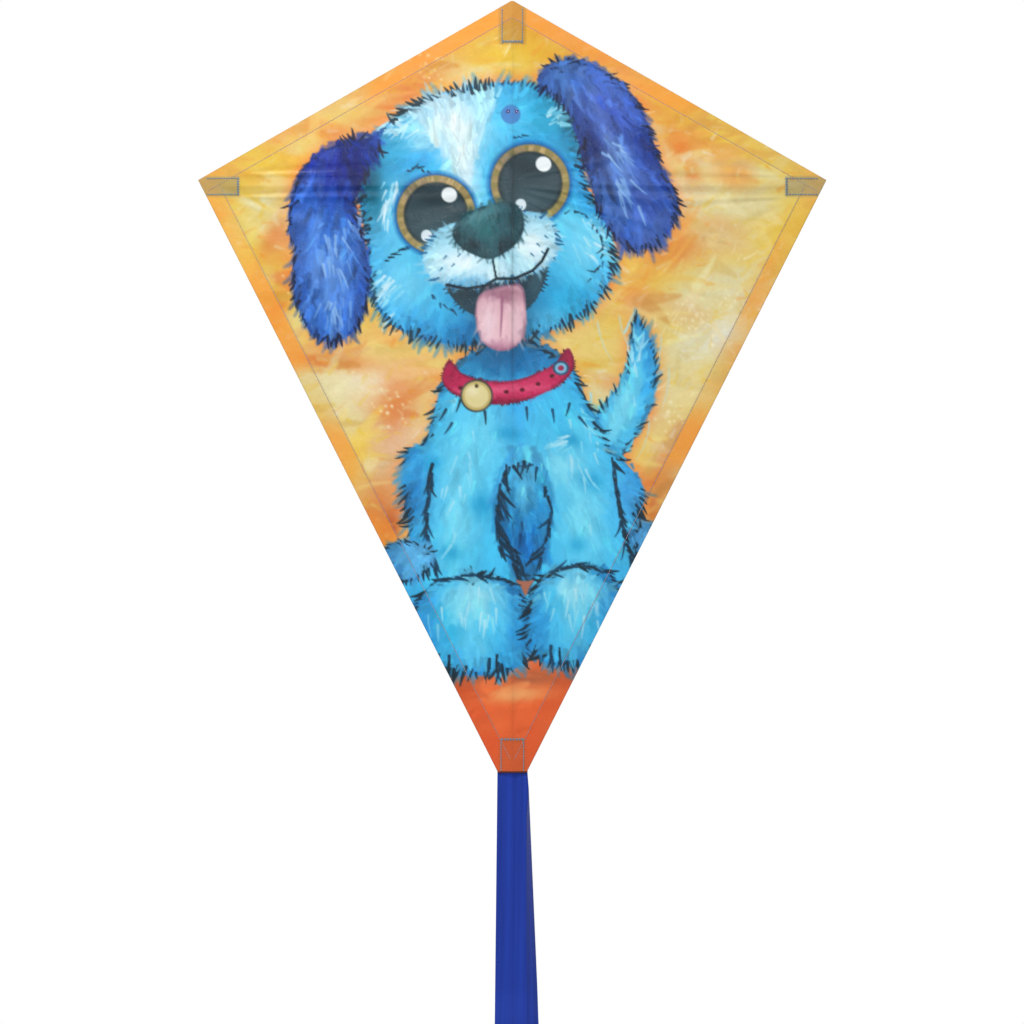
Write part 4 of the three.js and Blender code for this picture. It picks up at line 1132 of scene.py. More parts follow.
def paint_eye(c, x, d, size):
    """Rings and a pupil, each with its share of the eye's size, and the lights in them."""
    for share, colour, edge in ((1.08, (0.04, 0.38, 0.68), 6), (1.03, (0.14, 0.40, 0.60), 2),
                                (1, (0.57, 0.52, 0.30), 0.8)):
        c.disc(x, d, size * share, size * share, colour, edge=edge)
    for _ in range(130):
        angle = c.rng.uniform(0, 2 * math.pi)
        warm = 0.5 - 0.5 * math.sin(angle + 0.6)
        tone = lerp(np.array((0.72, 0.65, 0.36)), np.array((0.82, 0.69, 0.50)), warm)
        c.stroke(x + 0.78 * size * math.cos(angle), d + 0.78 * size * math.sin(angle), angle,
                 0.22 * size, 4.6, tone * c.rng.uniform(0.72, 1.08), 0, 0.6, 1.2)
    for share, colour, edge in ((0.82, (0.09, 0.15, 0.17), 2.5), (0.77, (0.20, 0.29, 0.32), 5)):
        c.disc(x, d, size * share, size * share, colour, edge=edge)
    c.glow(x - 0.1 * size, d - 0.45 * size, 0.6 * size, 0.25 * size, (0.13, 0.20, 0.23), 0.8, 0.3)
    c.glow(x, d + 0.4 * size, 0.5 * size, 0.3 * size, (0.27, 0.37, 0.41), 0.7)
    c.disc(x + 0.34 * size, d - 0.50 * size, 0.20 * size, 0.19 * size, (0.93, 0.96, 0.97), 0.4, 1.2)
    c.disc(x - 0.24 * size, d + 0.54 * size, 0.14 * size, 0.15 * size, (0.86, 0.92, 0.95), 0.0, 1.2)


def paint_mouth(c):
    c.glow(-14, 296, 56, 30, (0.05, 0.42, 0.66), 0.7)
    mouth = c.form(OUTLINES["mouth"])
    mouth.ragged_edge((-14, 280), INK, 7, 2.6, 4.0, follow=0.3, skip=0.3, reach=0.1)
    mouth.lay((0.14, 0.26, 0.31), BLOTS["mouth"])
    c.glow(-11, 322, 27, 36, (0.03, 0.18, 0.28), 0.85)
    tongue = laid(c, "tongue", (0.90, 0.73, 0.77))
    tongue.rim((0.34, 0.20, 0.32), 2.4, 0.9)
    tongue.fur((-10, 240), 6, 16, 4, 0.03, 0.15, 0.5, 2.0)
    c.stroke(-10, 296, 1.6, 44, 3.0, (0.58, 0.34, 0.46), 0.02, 0.8, 1.5)


def paint_muzzle(c):
    muzzle = laid(c, "muzzle", (0.62, 0.86, 0.94))
    muzzle.rim((0.30, 0.62, 0.82), 5, 0.7)
    muzzle.fur((-20, 236), 5.0, 15, 4.6, 0.05, 0.25, 0.55, 2.0)
    muzzle.fur((-20, 236), 7.0, 11, 1.6, 0.06, 0.25, 0.6)
    muzzle.ragged_edge((-20, 236), (0.10, 0.38, 0.56), 9, 2.8, 5.0, follow=0.6, skip=0.45, reach=0.35)
    c.path(((-20, 258), (-18, 270), (-16, 280)), 2.2, INK, 0.9)
    c.path(((-66, 286), (-46, 290), (-28, 287), (-16, 280), (2, 280), (20, 272), (30, 262), (36, 250)),
           3.0, INK)
    for x, d in ((-66, 256), (-58, 264), (-70, 268), (-52, 254), (24, 244), (32, 236), (29, 252), (18, 254)):
        c.stroke(x, d, 2.2 if x < 0 else 0.6, 6, 2.0, (0.08, 0.34, 0.50), 0.1, 0.8, 0.8)
    nose = laid(c, "nose", (0.14, 0.33, 0.37))
    nose.rim((0.05, 0.16, 0.20), 4, 0.8)
    nose.fur((-22, 180), 4.5, 14, 4.0, 0.10, 0.3, 0.5, 1.5)


def paint_collar(c):
    """The collar with its holes and rivet, and a plain round tag."""
    collar = c.form(OUTLINES["collar"])
    collar.ragged_edge((0, 380), (0.20, 0.05, 0.14), 4, 2.4, 2.6, follow=0.2, skip=0.2, reach=0.0)
    collar.lay((0.78, 0.16, 0.36), BLOTS["collar"])
    collar.fur((0, 300), 4, 7, 3.0, 0.08, 0.4, 0.5, 1.5)
    collar.rim((0.40, 0.04, 0.16), 3, 0.8)
    for x, d in ((-52, 390), (-6, 394), (10, 392), (26, 386), (40, 378)):
        c.disc(x, d, 2.4, 2.0, (0.36, 0.04, 0.14))
    for radius, colour in ((8.2, (0.14, 0.32, 0.44)), (6.0, (0.48, 0.72, 0.84)), (3.0, (0.64, 0.14, 0.30))):
        c.disc(49, 370, radius, radius * 0.9, colour)
    for radius, colour in ((16.5, (0.20, 0.24, 0.22)), (14.8, (0.76, 0.68, 0.42)),
                           (12.0, (0.87, 0.82, 0.58))):
        c.disc(-36, 398, radius, radius, colour, edge=1.6)
    c.glow(-40, 393, 7, 5, (0.93, 0.90, 0.74), 0.8)
    c.disc(-36, 388, 2.0, 2.0, (0.35, 0.30, 0.18))


def paint_see_through_shade(c):
    """Painted shade: the print is darkened and greyed where the pockets and the tow patch lie behind the
    cloth, tinted towards their colours.
    """
    x, d = np.meshgrid(c.x, c.d)
    across = np.abs(x) * MM
    z = NOSE_Z - d * MM
    on_nose = (across < NOSE_POCKET_HALF_WIDTH) & (z > NOSE_Z - NOSE_POCKET_LENGTH)
    on_foot = (across < FOOT_POCKET_HALF_WIDTH) & (z < FOOT_Z + FOOT_POCKET_LENGTH)
    on_wing = (across > WING_POCKET_MOUTH_X) & (np.abs(z - SPREADER_Z) < WING_POCKET_HEIGHT / 2)
    for place, colour, opacity in ((on_nose, (0.76, 0.55, 0.22), 0.55), (on_foot, (0.74, 0.40, 0.22), 0.2),
                                   (on_wing, (0.66, 0.60, 0.46), 0.6)):
        cover = blurred(place.astype(np.float32), 2, 1)
        c.wash(cover * opacity * (0.8 + 0.2 * c.cloud(8, 8)), colour)
    x, d = TOW_PATCH_X / MM, (NOSE_Z - TOW_PATCH_Z) / MM
    radius = TOW_PATCH_RADIUS / MM
    c.disc(x, d, radius, radius, (0.22, 0.40, 0.72), opacity=0.5)
    c.disc(x, d, radius - 1.2, radius - 1.2, (0.32, 0.54, 0.84), edge=2.5, opacity=0.5)


def paint():
    c = Canvas(SEED)
    paint_ground(c)
    paint_tail(c)
    paint_body(c)
    paint_paw(c, -1, (-42, 629), 61)
    paint_paw(c, 1, (65, 620), 50)
    paint_head(c)
    paint_ears(c)
    for x, d in ((-77, 215), (18, 184)):
        paint_eye(c, x, d, 39.5)
    paint_mouth(c)
    paint_muzzle(c)
    paint_collar(c)
    paint_see_through_shade(c)
    return c


# ---------------------------------------------------------------- sail

PRINT_STRENGTH = 0.79             # leaves room for the light of the lamps
SAIL_HOLE = 1.75 * MM             # cut in the sheet, under each eyelet
SPINE_LINE_WIDTH = 1.2 * MM       # of the painted shadow line of the spine rod behind the cloth
SPINE_LINE_SHADE = (0.08, 0.34)   # least, and over the stretch where the painted shadow is darkest
SPINE_SHADOW_BOTTOM_Z = (-0.30, -0.24)    # where that stretch starts, over these levels
SPINE_SHADOW_TOP_DEPTH = (0.03, 0.06)     # and where it ends, below the tow point
FOLD_SHADE_WIDTH = 0.3 * MM              # painted shade along the folded edges
FOOT_SHADOW_WIDTH = 1.3 * MM              # and the painted shadow along the foot
HEM_POINTS = 12                   # across each hem

canvas = paint()


def print_colour(x, z):
    """The print's linear colour at places on the unfolded sail."""
    column = np.clip((x / MM + PAINT_HALF_WIDTH) / PAINT_PITCH, 0, canvas.rgb.shape[1] - 1.001)
    row = np.clip(((NOSE_Z - z) / MM + PAINT_MARGIN) / PAINT_PITCH, 0, canvas.rgb.shape[0] - 1.001)
    left, top = column.astype(int), row.astype(int)
    u, v = (column - left)[:, None], (row - top)[:, None]
    upper = lerp(canvas.rgb[top, left], canvas.rgb[top, left + 1], u)
    lower = lerp(canvas.rgb[top + 1, left], canvas.rgb[top + 1, left + 1], u)
    srgb = np.clip(lerp(upper, lower, v), 0.01, 1)
    return PRINT_STRENGTH * ((srgb + 0.055) / 1.055) ** 2.4


def in_hole(x, z):
    return np.minimum(np.hypot(x - LINE_HOLE_X, z), np.hypot(x + LINE_HOLE_X, z)) < SAIL_HOLE


def sail_sheet(shape):
    """The front layer, row by row, with its last points in each row exactly on the edge."""
    upper_rows = round((NOSE_Z - TIP_Z) / SAIL_PITCH)
    lower_rows = round((TIP_Z - FOOT_Z) / SAIL_PITCH)
    levels = np.hstack([np.linspace(NOSE_Z, TIP_Z, upper_rows + 1),
                        np.linspace(TIP_Z, FOOT_Z, lower_rows + 1)[1:]])
    reaches = np.maximum(1, np.round(half_width(levels) / SAIL_PITCH)).astype(int)
    starts = np.cumsum(np.hstack([0, 2 * reaches + 1]))
    x, z, faces = [], [], []
    for level, reach, edge in zip(levels, reaches, half_width(levels)):
        inner = np.arange(1 - reach, reach) * SAIL_PITCH
        x.append(np.hstack([-edge, inner, edge]))
        z.append(np.full(2 * reach + 1, level))
    for row in range(len(levels) - 1):
        above, below = (starts[row + i] + reaches[row + i] for i in (0, 1))
        shared = min(reaches[row], reaches[row + 1])
        for i in range(-shared, shared):
            faces.append((above + i, below + i, below + i + 1, above + i + 1))
        for i in range(shared, reaches[row + 1]):
            faces.append((above + shared, below + i, below + i + 1))
            faces.append((above - shared, below - i - 1, below - i))
        for i in range(shared, reaches[row]):
            faces.append((below + shared, above + i + 1, above + i))
            faces.append((below - shared, above - i, above - i - 1))
    x, z = np.hstack(x), np.hstack(z)
    holes = in_hole(x, z)
    faces = [face for face in faces if not holes[list(face)].any()]
    shape.add(np.stack([x, cloth_y(x, z) + FRONT_FACE, z], 1), faces)
    # Painted shadow of the spine rod seen through the cloth: a dark line along the spine, darkest over a
    # stretch below the tow point.
    spine_shadow = lerp(*SPINE_LINE_SHADE, smoothstep(z, *SPINE_SHADOW_BOTTOM_Z) * smoothstep(-z, *SPINE_SHADOW_TOP_DEPTH))
    on_spine = np.exp(-(x / SPINE_LINE_WIDTH) ** 2) * ((z < SPINE_TOP_Z) & (z > SPINE_BOTTOM_Z))
    # Painted shade along the folded edges.
    edge = half_width(z) - np.abs(x) < FOLD_SHADE_WIDTH
    # Painted shadow along the foot, where the ribbon comes out from behind the sail.
    foot = z < FOOT_Z + FOOT_SHADOW_WIDTH
    shade = (1 - spine_shadow * on_spine) * (1 - 0.25 * edge) * (1 - 0.85 * foot)
    return levels, print_colour(x, z) * shade[:, None]


def hem(shape, side, levels, upper):
    """The strip folded to the back along one edge. It shows the print that runs past the edge."""
    top, bottom = (NOSE_Z, TIP_Z) if upper else (TIP_Z, FOOT_Z)
    levels = levels[(levels <= top) & (levels >= bottom)]
    edge_x = half_width(levels)
    run = np.array([half_width(bottom) - half_width(top), bottom - top])
    length = np.hypot(*run)
    inward = np.array([run[1], -run[0]]) / length
    from_tip = (edge_x - HALF_SPAN) ** 2 + (levels - TIP_Z) ** 2
    mitre = math.tan(math.atan2(NOSE_Z - TIP_Z, HALF_SPAN) / 2 + math.atan2(TIP_Z - FOOT_Z, HALF_SPAN) / 2)
    depth = np.minimum(UPPER_HEM if upper else LOWER_HEM, np.sqrt(from_tip) * mitre)
    depth = np.minimum(depth, (edge_x - GAP) / -inward[0])
    turn = ((0, FRONT_FACE), (-0.2 * MM, (FRONT_FACE + HEM_LIFT) / 2), (0, HEM_LIFT))
    inset = [np.full(len(levels), out) for out, _ in turn]
    inset = np.array(inset + [depth * t for t in np.linspace(0, 1, HEM_POINTS)[1:]]).T
    lift = np.array([lift for _, lift in turn] + [HEM_LIFT] * (HEM_POINTS - 1))
    x = side * (edge_x[:, None] + inward[0] * inset)
    z = levels[:, None] + inward[1] * inset
    shape.grid(np.stack([x, cloth_y(x, z) + lift, z], -1))
    past = np.maximum(inset, 0)
    past_x, past_z = side * (edge_x[:, None] - inward[0] * past), levels[:, None] - inward[1] * past
    return print_colour(past_x.ravel(), past_z.ravel())


def make_sail():
    shape = Shape()
    levels, colours = sail_sheet(shape)
    colours = [colours]
    for side in (-1, 1):
        for upper in (True, False):
            colours.append(hem(shape, side, levels, upper))
    made = shape.piece("printed_sail", SAIL_FINISH, replaces=["sail"])
    colours = np.pad(np.vstack(colours), ((0, 0), (0, 1)), constant_values=1)
    layer = made.data.color_attributes.new("print", "FLOAT_COLOR", "POINT")
    layer.data.foreach_set("color", colours.astype(np.float32).ravel())
    return made


# ---------------------------------------------------------------- pockets

def tunnel_lift(across, past_cap, standoff, under):
    """Lift of a pocket over the sail: a tunnel over the capped rod, flat beside and past it."""
    sides = 1 - smoothstep(np.abs(across), TUNNEL_FLAT, TUNNEL_REACH)
    end = 1 - smoothstep(past_cap, 0, TUNNEL_RUNOUT)
    return lerp(POCKET_LIFT, standoff + CAP_RADIUS + GAP, sides * end) - under


def wing_lift(x, z, under=0.0):
    flat_y = SAIL_SLOPE * np.abs(x)
    push = np.maximum(0, flat_y + CLOTH + GAP + ROD_RADIUS - spreader_y(x))
    standoff = spreader_y(x) - flat_y + push
    return tunnel_lift(z - SPREADER_Z, np.abs(x) - SPREADER_END_X, standoff, under)


def spine_lift(x, z, under=0.0):
    return tunnel_lift(x, np.maximum(z - SPINE_TOP_Z, SPINE_BOTTOM_Z - z), SPINE_Y, under)


def pocket(name, levels, x, lift, mouth):
    """A base layer on the sail and a tunnel layer behind it, with the mouth's edge turned under.

    x has a row for each level. mouth is the side that the rod comes in at: the first columns, or the
    top or bottom rows."""
    shape = Shape()
    z = np.repeat(levels[:, None], x.shape[1], 1)
    front = cloth_y(x, z)
    shape.grid(np.stack([x, front + BASE_LIFT, z], -1))
    pucker = PUCKER * np.sin(x / (1.3 * MM)) * np.sin(z / (1.7 * MM))
    shape.grid(np.stack([x, front + lift(x, z) + POCKET_PROUD + pucker, z], -1))
    strip = {"columns": np.s_[:, :6], "top": np.s_[:6], "bottom": np.s_[-6:]}[mouth]
    shape.grid(np.stack([x, front + lift(x, z, TURN_UNDER) + POCKET_PROUD + pucker, z], -1)[strip])
    return shape.piece(name + "_cloth", POCKET_FINISH, replaces=[name])


def make_wing_pocket(side, name):
    levels = SPREADER_Z + np.linspace(1, -1, 21) * WING_POCKET_HEIGHT / 2
    x = side * np.linspace(WING_POCKET_MOUTH_X, half_width(levels) - POCKET_MARGIN, 36, axis=1)
    return pocket(name, levels, x, wing_lift, "columns")


def make_spine_pocket(name, top, bottom, rows, half, mouth):
    """A pocket half wide each way, or less where the sail narrows to its nose."""
    levels = np.linspace(top, bottom, rows)
    reach = np.minimum(half, half_width(levels) - POCKET_MARGIN)
    return pocket(name, levels, np.linspace(-1, 1, 29) * reach[:, None], spine_lift, mouth)


# ---------------------------------------------------------------- stitches

STITCH_RINGS = (   # place along the stitch, thickness and height in threads
    (-0.5, 0.45, -0.9), (-0.34, 0.95, 0.1), (0.0, 1.05, 0.35), (0.34, 0.95, 0.1), (0.5, 0.45, -0.9))
STITCH_SIDES = 6
BAR_PITCH = 1.1 * MM              # between the two rows across a pocket's mouth
rng = np.random.default_rng(SEED)


def stitches(shape, path, lift, outward, thread):
    """A row of stitches along a path of (x, z) points. outward is -1 in front and 1 behind."""
    for (x0, z0), (x1, z1) in zip(path[:-1], path[1:]):
        length = math.hypot(x1 - x0, z1 - z0)
        along = np.array([(x1 - x0) / length, 0, (z1 - z0) / length])
        count = max(1, round(length / STITCH_PITCH))
        for step in range(count):
            t = (step + 0.5 + rng.normal(0, 0.04)) / count
            x, z = lerp(x0, x1, t), lerp(z0, z1, t)
            lean = along + np.cross(along, (0, 1, 0)) * rng.normal(0, 0.05)
            side = np.cross(lean, (0, 1, 0))
            rings = []
            for share, thick, height in STITCH_RINGS:
                px, pz = x + lean[0] * share * STITCH_LENGTH, z + lean[2] * share * STITCH_LENGTH
                y = float(cloth_y(np.array(px), np.array(pz))) + float(lift(px, pz))
                centre = (px, y + outward * height * thread, pz)
                rings.append(ring(centre, thick * thread, side, (0, 1, 0), STITCH_SIDES))
            shape.capped_tube(rings)


def seam(node, rows, front_rows=(), thread=THREAD_RADIUS, finish=None):
    """One piece for the thread of a seam. rows are (path, lift) behind, and front_rows paths in front."""
    shape = Shape()
    for path, lift in rows:
        stitches(shape, path, lift, 1, thread)
    for path in front_rows:
        stitches(shape, path, lambda x, z: FRONT_FACE, -1, thread)
    shape.piece(node + "_thread", finish or THREAD_FINISH, replaces=[node])


def on_hem(x, z):
    return HEM_LIFT + 0.1 * MM


def on_base(x, z):
    return BASE_LIFT + 0.1 * MM


def behind(lift):
    return lambda x, z: lift(x, z) + 0.3 * MM


def make_wing_seam(side, node):
    top = SPREADER_Z + WING_POCKET_HEIGHT / 2 - SEAM_INSET
    bottom = SPREADER_Z - WING_POCKET_HEIGHT / 2 + SEAM_INSET
    mouth = side * (WING_POCKET_MOUTH_X + 1 * MM)
    end = side * (SPREADER_END_X + TUNNEL_RUNOUT + 1 * MM)
    box = [(mouth, top), (end, top), (end, bottom), (mouth, bottom)]
    bars = [[(mouth + side * inset, top + 1 * MM), (mouth + side * inset, bottom - 1 * MM)]
            for inset in (0, BAR_PITCH)]
    seam(node, [(box, behind(wing_lift))] + [(bar, on_base) for bar in bars], [box[:2], box[2:]] + bars)


def make_nose_seam():
    x = NOSE_POCKET_HALF_WIDTH - NOSE_SEAM_INSET
    top = NOSE_Z - 7.5 * MM
    mouth = NOSE_Z - NOSE_POCKET_LENGTH + 2.6 * MM
    bottom = mouth - 2 * MM
    box = [(-x, bottom), (-x, top), (x, top), (x, bottom)]
    bars = [[(-x, mouth + up), (x, mouth + up)] for up in (0, BAR_PITCH)]
    seam("nose_pocket_seam", [(box, behind(spine_lift))] + [(bar, on_base) for bar in bars],
         [box[:2], box[2:]] + bars)


def make_foot_seams():
    bottom = TAIL_TOP_Z + 1 * MM
    front_bottom = FOOT_Z + 1.6 * MM
    mouth = FOOT_Z + FOOT_POCKET_LENGTH - 1 * MM
    for side, name in ((-1, "left"), (1, "right")):
        x = side * (FOOT_POCKET_HALF_WIDTH - SEAM_INSET)
        line, front_line = [(x, mouth), (x, bottom)], [(x, mouth), (x, front_bottom)]
        half_bars = [[(x, mouth - down), (0, mouth - down)] for down in (0, BAR_PITCH)]
        seam(f"foot_pocket_seam_{name}", [(line, behind(spine_lift))] + [(bar, on_base) for bar in half_bars],
             [front_line] + half_bars)


def make_hem_seam(side, start, end, inset, span, front_span, node):
    """The front shows the whole seam. Behind, the pockets cover its ends."""
    start, end = np.array(start), np.array(end)
    along = (end - start) / np.hypot(*(end - start))
    inward = inset * np.array([along[1], -along[0]])
    paths = [[tuple(np.array([side, 1]) * (start + along * distance + inward)) for distance in ends]
             for ends in (span, front_span)]
    seam(node, [(paths[0], on_hem)], [paths[1]], HEM_THREAD_RADIUS, HEM_THREAD_FINISH)


def make_seams():
    make_nose_seam()
    make_foot_seams()
    nose, tip, foot = (0, NOSE_Z), (HALF_SPAN, TIP_Z), (FOOT_WIDTH / 2, FOOT_Z)
    stitch_inset = 1.2 * MM       # from the hem's raw edge
    for side, name in ((-1, "left"), (1, "right")):
        make_wing_seam(side, f"{name}_wing_pocket_seam")
        make_hem_seam(side, nose, tip, UPPER_HEM - stitch_inset, UPPER_HEM_SPAN, (9 * MM, 362 * MM),
                      f"upper_{name}_hem_seam")
        make_hem_seam(side, tip, foot, LOWER_HEM - stitch_inset, LOWER_HEM_SPAN, (17 * MM, 664 * MM),
                      f"lower_{name}_hem_seam")


# ---------------------------------------------------------------- tow patch

PATCH_LIFT = 0.3 * MM
EYELET = (   # radius and depth in mm, round the ring that lines a hole
    (0.35, 0.25), (0.6, -0.1), (1.3, -0.24), (2.0, -0.06), (2.0, 0.6), (0.6, 0.6), (0.35, 0.25))


def make_tow_patch():
    shape = Shape()
    turns = np.linspace(0, 2 * math.pi, 72, endpoint=False)
    radii = np.linspace(0, TOW_PATCH_RADIUS, 26)[1:]
    x = TOW_PATCH_X + radii[:, None] * np.cos(turns)
    z = TOW_PATCH_Z + radii[:, None] * np.sin(turns)
    index = np.arange(x.size).reshape(x.shape)
    ahead = np.roll(index, -1, 1)
    faces = np.stack([index[:-1], index[1:], ahead[1:], ahead[:-1]], -1).reshape(-1, 4)
    holes = in_hole(x, z).ravel()
    faces = [tuple(face) for face in faces if not holes[face].any()] + [tuple(index[0])]
    rim = 0.25 * MM * smoothstep(radii, 0.86 * TOW_PATCH_RADIUS, 0.94 * TOW_PATCH_RADIUS)[:, None]
    shape.add(np.stack([x, cloth_y(x, z) + PATCH_LIFT + rim, z], -1), faces)
    for hole_x in (-LINE_HOLE_X, LINE_HOLE_X):
        y = float(cloth_y(np.array(hole_x), np.array(0.0)))
        rings = turned([(r * MM, -h * MM) for r, h in EYELET], (hole_x, y, 0), (0, -1, 0))
        shape.grid(rings, closed=True)
    return shape.piece("tow_patch_film", PATCH_FINISH, replaces=["tow_patch"])


# ---------------------------------------------------------------- rods, caps and fitting

ROD_GIRTH = 6.28 * ROD_RADIUS
CAP_PROFILE = (   # radius in cap radii and height in mm: a domed end, two grooves and a lip
    (0, 0), (0.45, 0), (0.74, -0.25), (0.92, -0.7), (1, -1.4), (1, -3.6), (0.95, -3.8), (0.95, -4.4),
    (1, -4.6), (1, -6.6), (0.95, -6.8), (0.95, -7.4), (1, -7.6), (1, -12.2), (1.06, -12.5),
    (1.06, -13.7), (1, -14))
COLLAR_RADIUS = 3.35 * MM         # of the fitting's sleeves, at their ends
SLEEVE_RADIUS = 3.0 * MM
COLLAR_LENGTH = 3 * MM
FITTING_CHAMFER = 0.4 * MM
FITTING_VOXEL = 0.32 * MM


def rod(name, spots, normals, node):
    """A smooth rod with chamfered ends through (x, y, z) spots."""
    spots = np.asarray(spots, float)
    heading = np.gradient(spots, axis=0)
    heading /= np.linalg.norm(heading, axis=1)[:, None]
    shape = Shape()
    sides = 28
    chamfer = 0.3 * MM
    spots = np.vstack([spots[0] - chamfer * heading[0], spots, spots[-1] + chamfer * heading[-1]])
    heading = np.vstack([heading[0], heading, heading[-1]])
    rings = []
    for i, (spot, way) in enumerate(zip(spots, heading)):
        first = np.cross(way, normals)
        first /= np.linalg.norm(first)
        radius = ROD_RADIUS - (chamfer if i in (0, len(spots) - 1) else 0)
        rings.append(ring(spot, radius, first, np.cross(way, first), sides))
    uvs = [[(turn / sides * ROD_GIRTH, row * 10 * MM) for turn in range(sides)] for row in range(len(rings))]
    shape.capped_tube(rings, uvs)
    shape.piece(name, FIBREGLASS_FINISH, replaces=[node])


def make_rods():
    room = CAP_WALL + GAP
    levels = np.linspace(SPINE_TOP_Z - room, SPINE_BOTTOM_Z + room, 60)
    rod("spine_fibreglass", [(0, SPINE_Y, z) for z in levels], (0, 1, 0), "spine_rod")
    reach = SPREADER_END_X - room
    across = np.linspace(-reach, reach, 90)
    rod("spreader_fibreglass", [(x, spreader_y(x), SPREADER_Z) for x in across], (0, 0, 1), "spreader_rod")


def make_cap(name, tip, outward):
    outside = [(r * CAP_RADIUS, h * MM) for r, h in CAP_PROFILE]
    inside = [(BORE_RADIUS, -CAP_LENGTH), (BORE_RADIUS, -CAP_WALL), (0, -CAP_WALL)]
    shape = Shape()
    shape.grid(turned(outside + inside, tip, outward), closed=True)
    shape.piece(name + "_vinyl", VINYL_FINISH, replaces=[name])


def make_caps():
    make_cap("nose_end_cap", (0, SPINE_Y, SPINE_TOP_Z), (0, 0, 1))
    make_cap("foot_end_cap", (0, SPINE_Y, SPINE_BOTTOM_Z), (0, 0, -1))
    for side, name in ((-1, "left_end_cap"), (1, "right_end_cap")):
        tip = (side * SPREADER_END_X, spreader_y(SPREADER_END_X), SPREADER_Z)
        make_cap(name, tip, (side, 2 * SPREADER_BOW / SPREADER_END_X, 0))


def barrel(profile, centre, outward):
    shape = Shape()
    shape.capped_tube(turned(profile, centre, outward, 40))
    return shape.placed("barrel")


def sleeve_profile(length):
    """A tube with a collar at each end, as (radius, height) about its middle."""
    half = length / 2
    one_end = [(COLLAR_RADIUS - FITTING_CHAMFER, half), (COLLAR_RADIUS, half - FITTING_CHAMFER),
               (COLLAR_RADIUS, half - COLLAR_LENGTH), (SLEEVE_RADIUS, half - COLLAR_LENGTH - 1 * MM)]
    return one_end + [(radius, -height) for radius, height in reversed(one_end)]


def apply_modifiers(made):
    graph = bpy.context.evaluated_depsgraph_get()
    mesh = bpy.data.meshes.new_from_object(made.evaluated_get(graph))
    made.modifiers.clear()
    made.data = mesh


def make_centre_fitting():
    spine, spreader = (0, SPINE_Y, SPREADER_Z), (0, SPREADER_Y, SPREADER_Z)
    fitting = barrel(sleeve_profile(FITTING_SPINE_LENGTH), spine, (0, 0, 1))
    web = [(4.6 * MM, 1.6 * MM), (5.0 * MM, 0), (4.6 * MM, -1.6 * MM)]
    bore = [(BORE_RADIUS, 20 * MM), (BORE_RADIUS, -20 * MM)]
    others = [
        ("UNION", barrel(sleeve_profile(FITTING_SPREADER_LENGTH), spreader, (1, 0, 0))),
        ("UNION", barrel(web, (0, (SPINE_Y + SPREADER_Y) / 2, SPREADER_Z), (0, 1, 0))),
        ("DIFFERENCE", barrel(bore, spine, (0, 0, 1))),
        ("DIFFERENCE", barrel(bore, spreader, (1, 0, 0))),
    ]
    for operation, other in others:
        step = fitting.modifiers.new(operation, "BOOLEAN")
        step.operation = operation
        step.object = other
        step.solver = "EXACT"
    apply_modifiers(fitting)
    soften = fitting.modifiers.new("soften", "REMESH")
    soften.mode = "VOXEL"
    soften.voxel_size = FITTING_VOXEL
    smooth = fitting.modifiers.new("smooth", "SMOOTH")
    smooth.iterations = 4
    apply_modifiers(fitting)
    for _, other in others:
        bpy.data.objects.remove(other)
    fitting.name = "centre_fitting_vinyl"
    fitting.data.shade_smooth()
    fitting.data.materials.clear()
    fitting.data.materials.append(VINYL_FINISH)
    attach(fitting, "kite")
    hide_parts("centre_fitting")


# ---------------------------------------------------------------- ribbon tail

HANK_TOP_Z = TAIL_DROP_END_Z - 1.5 * MM
HANK_BOTTOM_Z = TAIL_DROP_END_Z - HANK_LENGTH + 1.5 * MM
HANK_MIDDLE_Z = (HANK_TOP_Z + HANK_BOTTOM_Z) / 2
HANK_LEFT_X = (TAIL_LEFT_X[1] + TAIL_RIGHT_X[1] - HANK_WIDTH) / 2
HANK_MIDDLE_X = HANK_LEFT_X + HANK_WIDTH / 2
RIBBON_COLUMNS = np.hstack([np.linspace(0, 25, 10), np.linspace(26, 33, 18), np.linspace(34.5, 50, 9)]) * MM
RUN_PITCH = 1.16 * MM             # between the folded runs of the hank
RUN_COUNT = 14
FIRST_RUN_Y = TAIL_MID_Y - RUN_PITCH * (RUN_COUNT - 1) / 2
TIE_SQUEEZE = 0.5                 # thickness left under the tie
SQUEEZE_REACH = 52 * MM           # from the hank's middle to its full thickness
PANEL_WIDTHS = (27 * MM, 32 * MM) # least and most from the left edge to the lengthwise fold
TIE_THICKNESS = 0.7 * MM
TIE_RIB = 0.22 * MM
TIE_RIBS = 5
TIE_SQUARENESS = 0.35             # 1 is an oval, and towards 0 the loop is a rectangle
VIEW_BOTTOM_Z = -0.92             # where the camera's view ends
FREE_LENGTH = 268.5 * MM          # from the sewn end to the hank
APPROACH = 46 * MM                # over which the free length comes forward to the first run
FIRST_RUN_BLEND = 60 * MM         # of the first run, over which the free length turns into it
CREASE_REACH = 1.1 * MM           # of the lengthwise fold, to each side
SEWN_REACH = 3 * MM               # below the hinge, where the ribbon leaves the sail


def squeezed(z):
    """How much of its thickness the hank keeps at a level."""
    return lerp(TIE_SQUEEZE, 1, smoothstep(np.abs(z - HANK_MIDDLE_Z), TIE_WIDTH / 2, SQUEEZE_REACH))


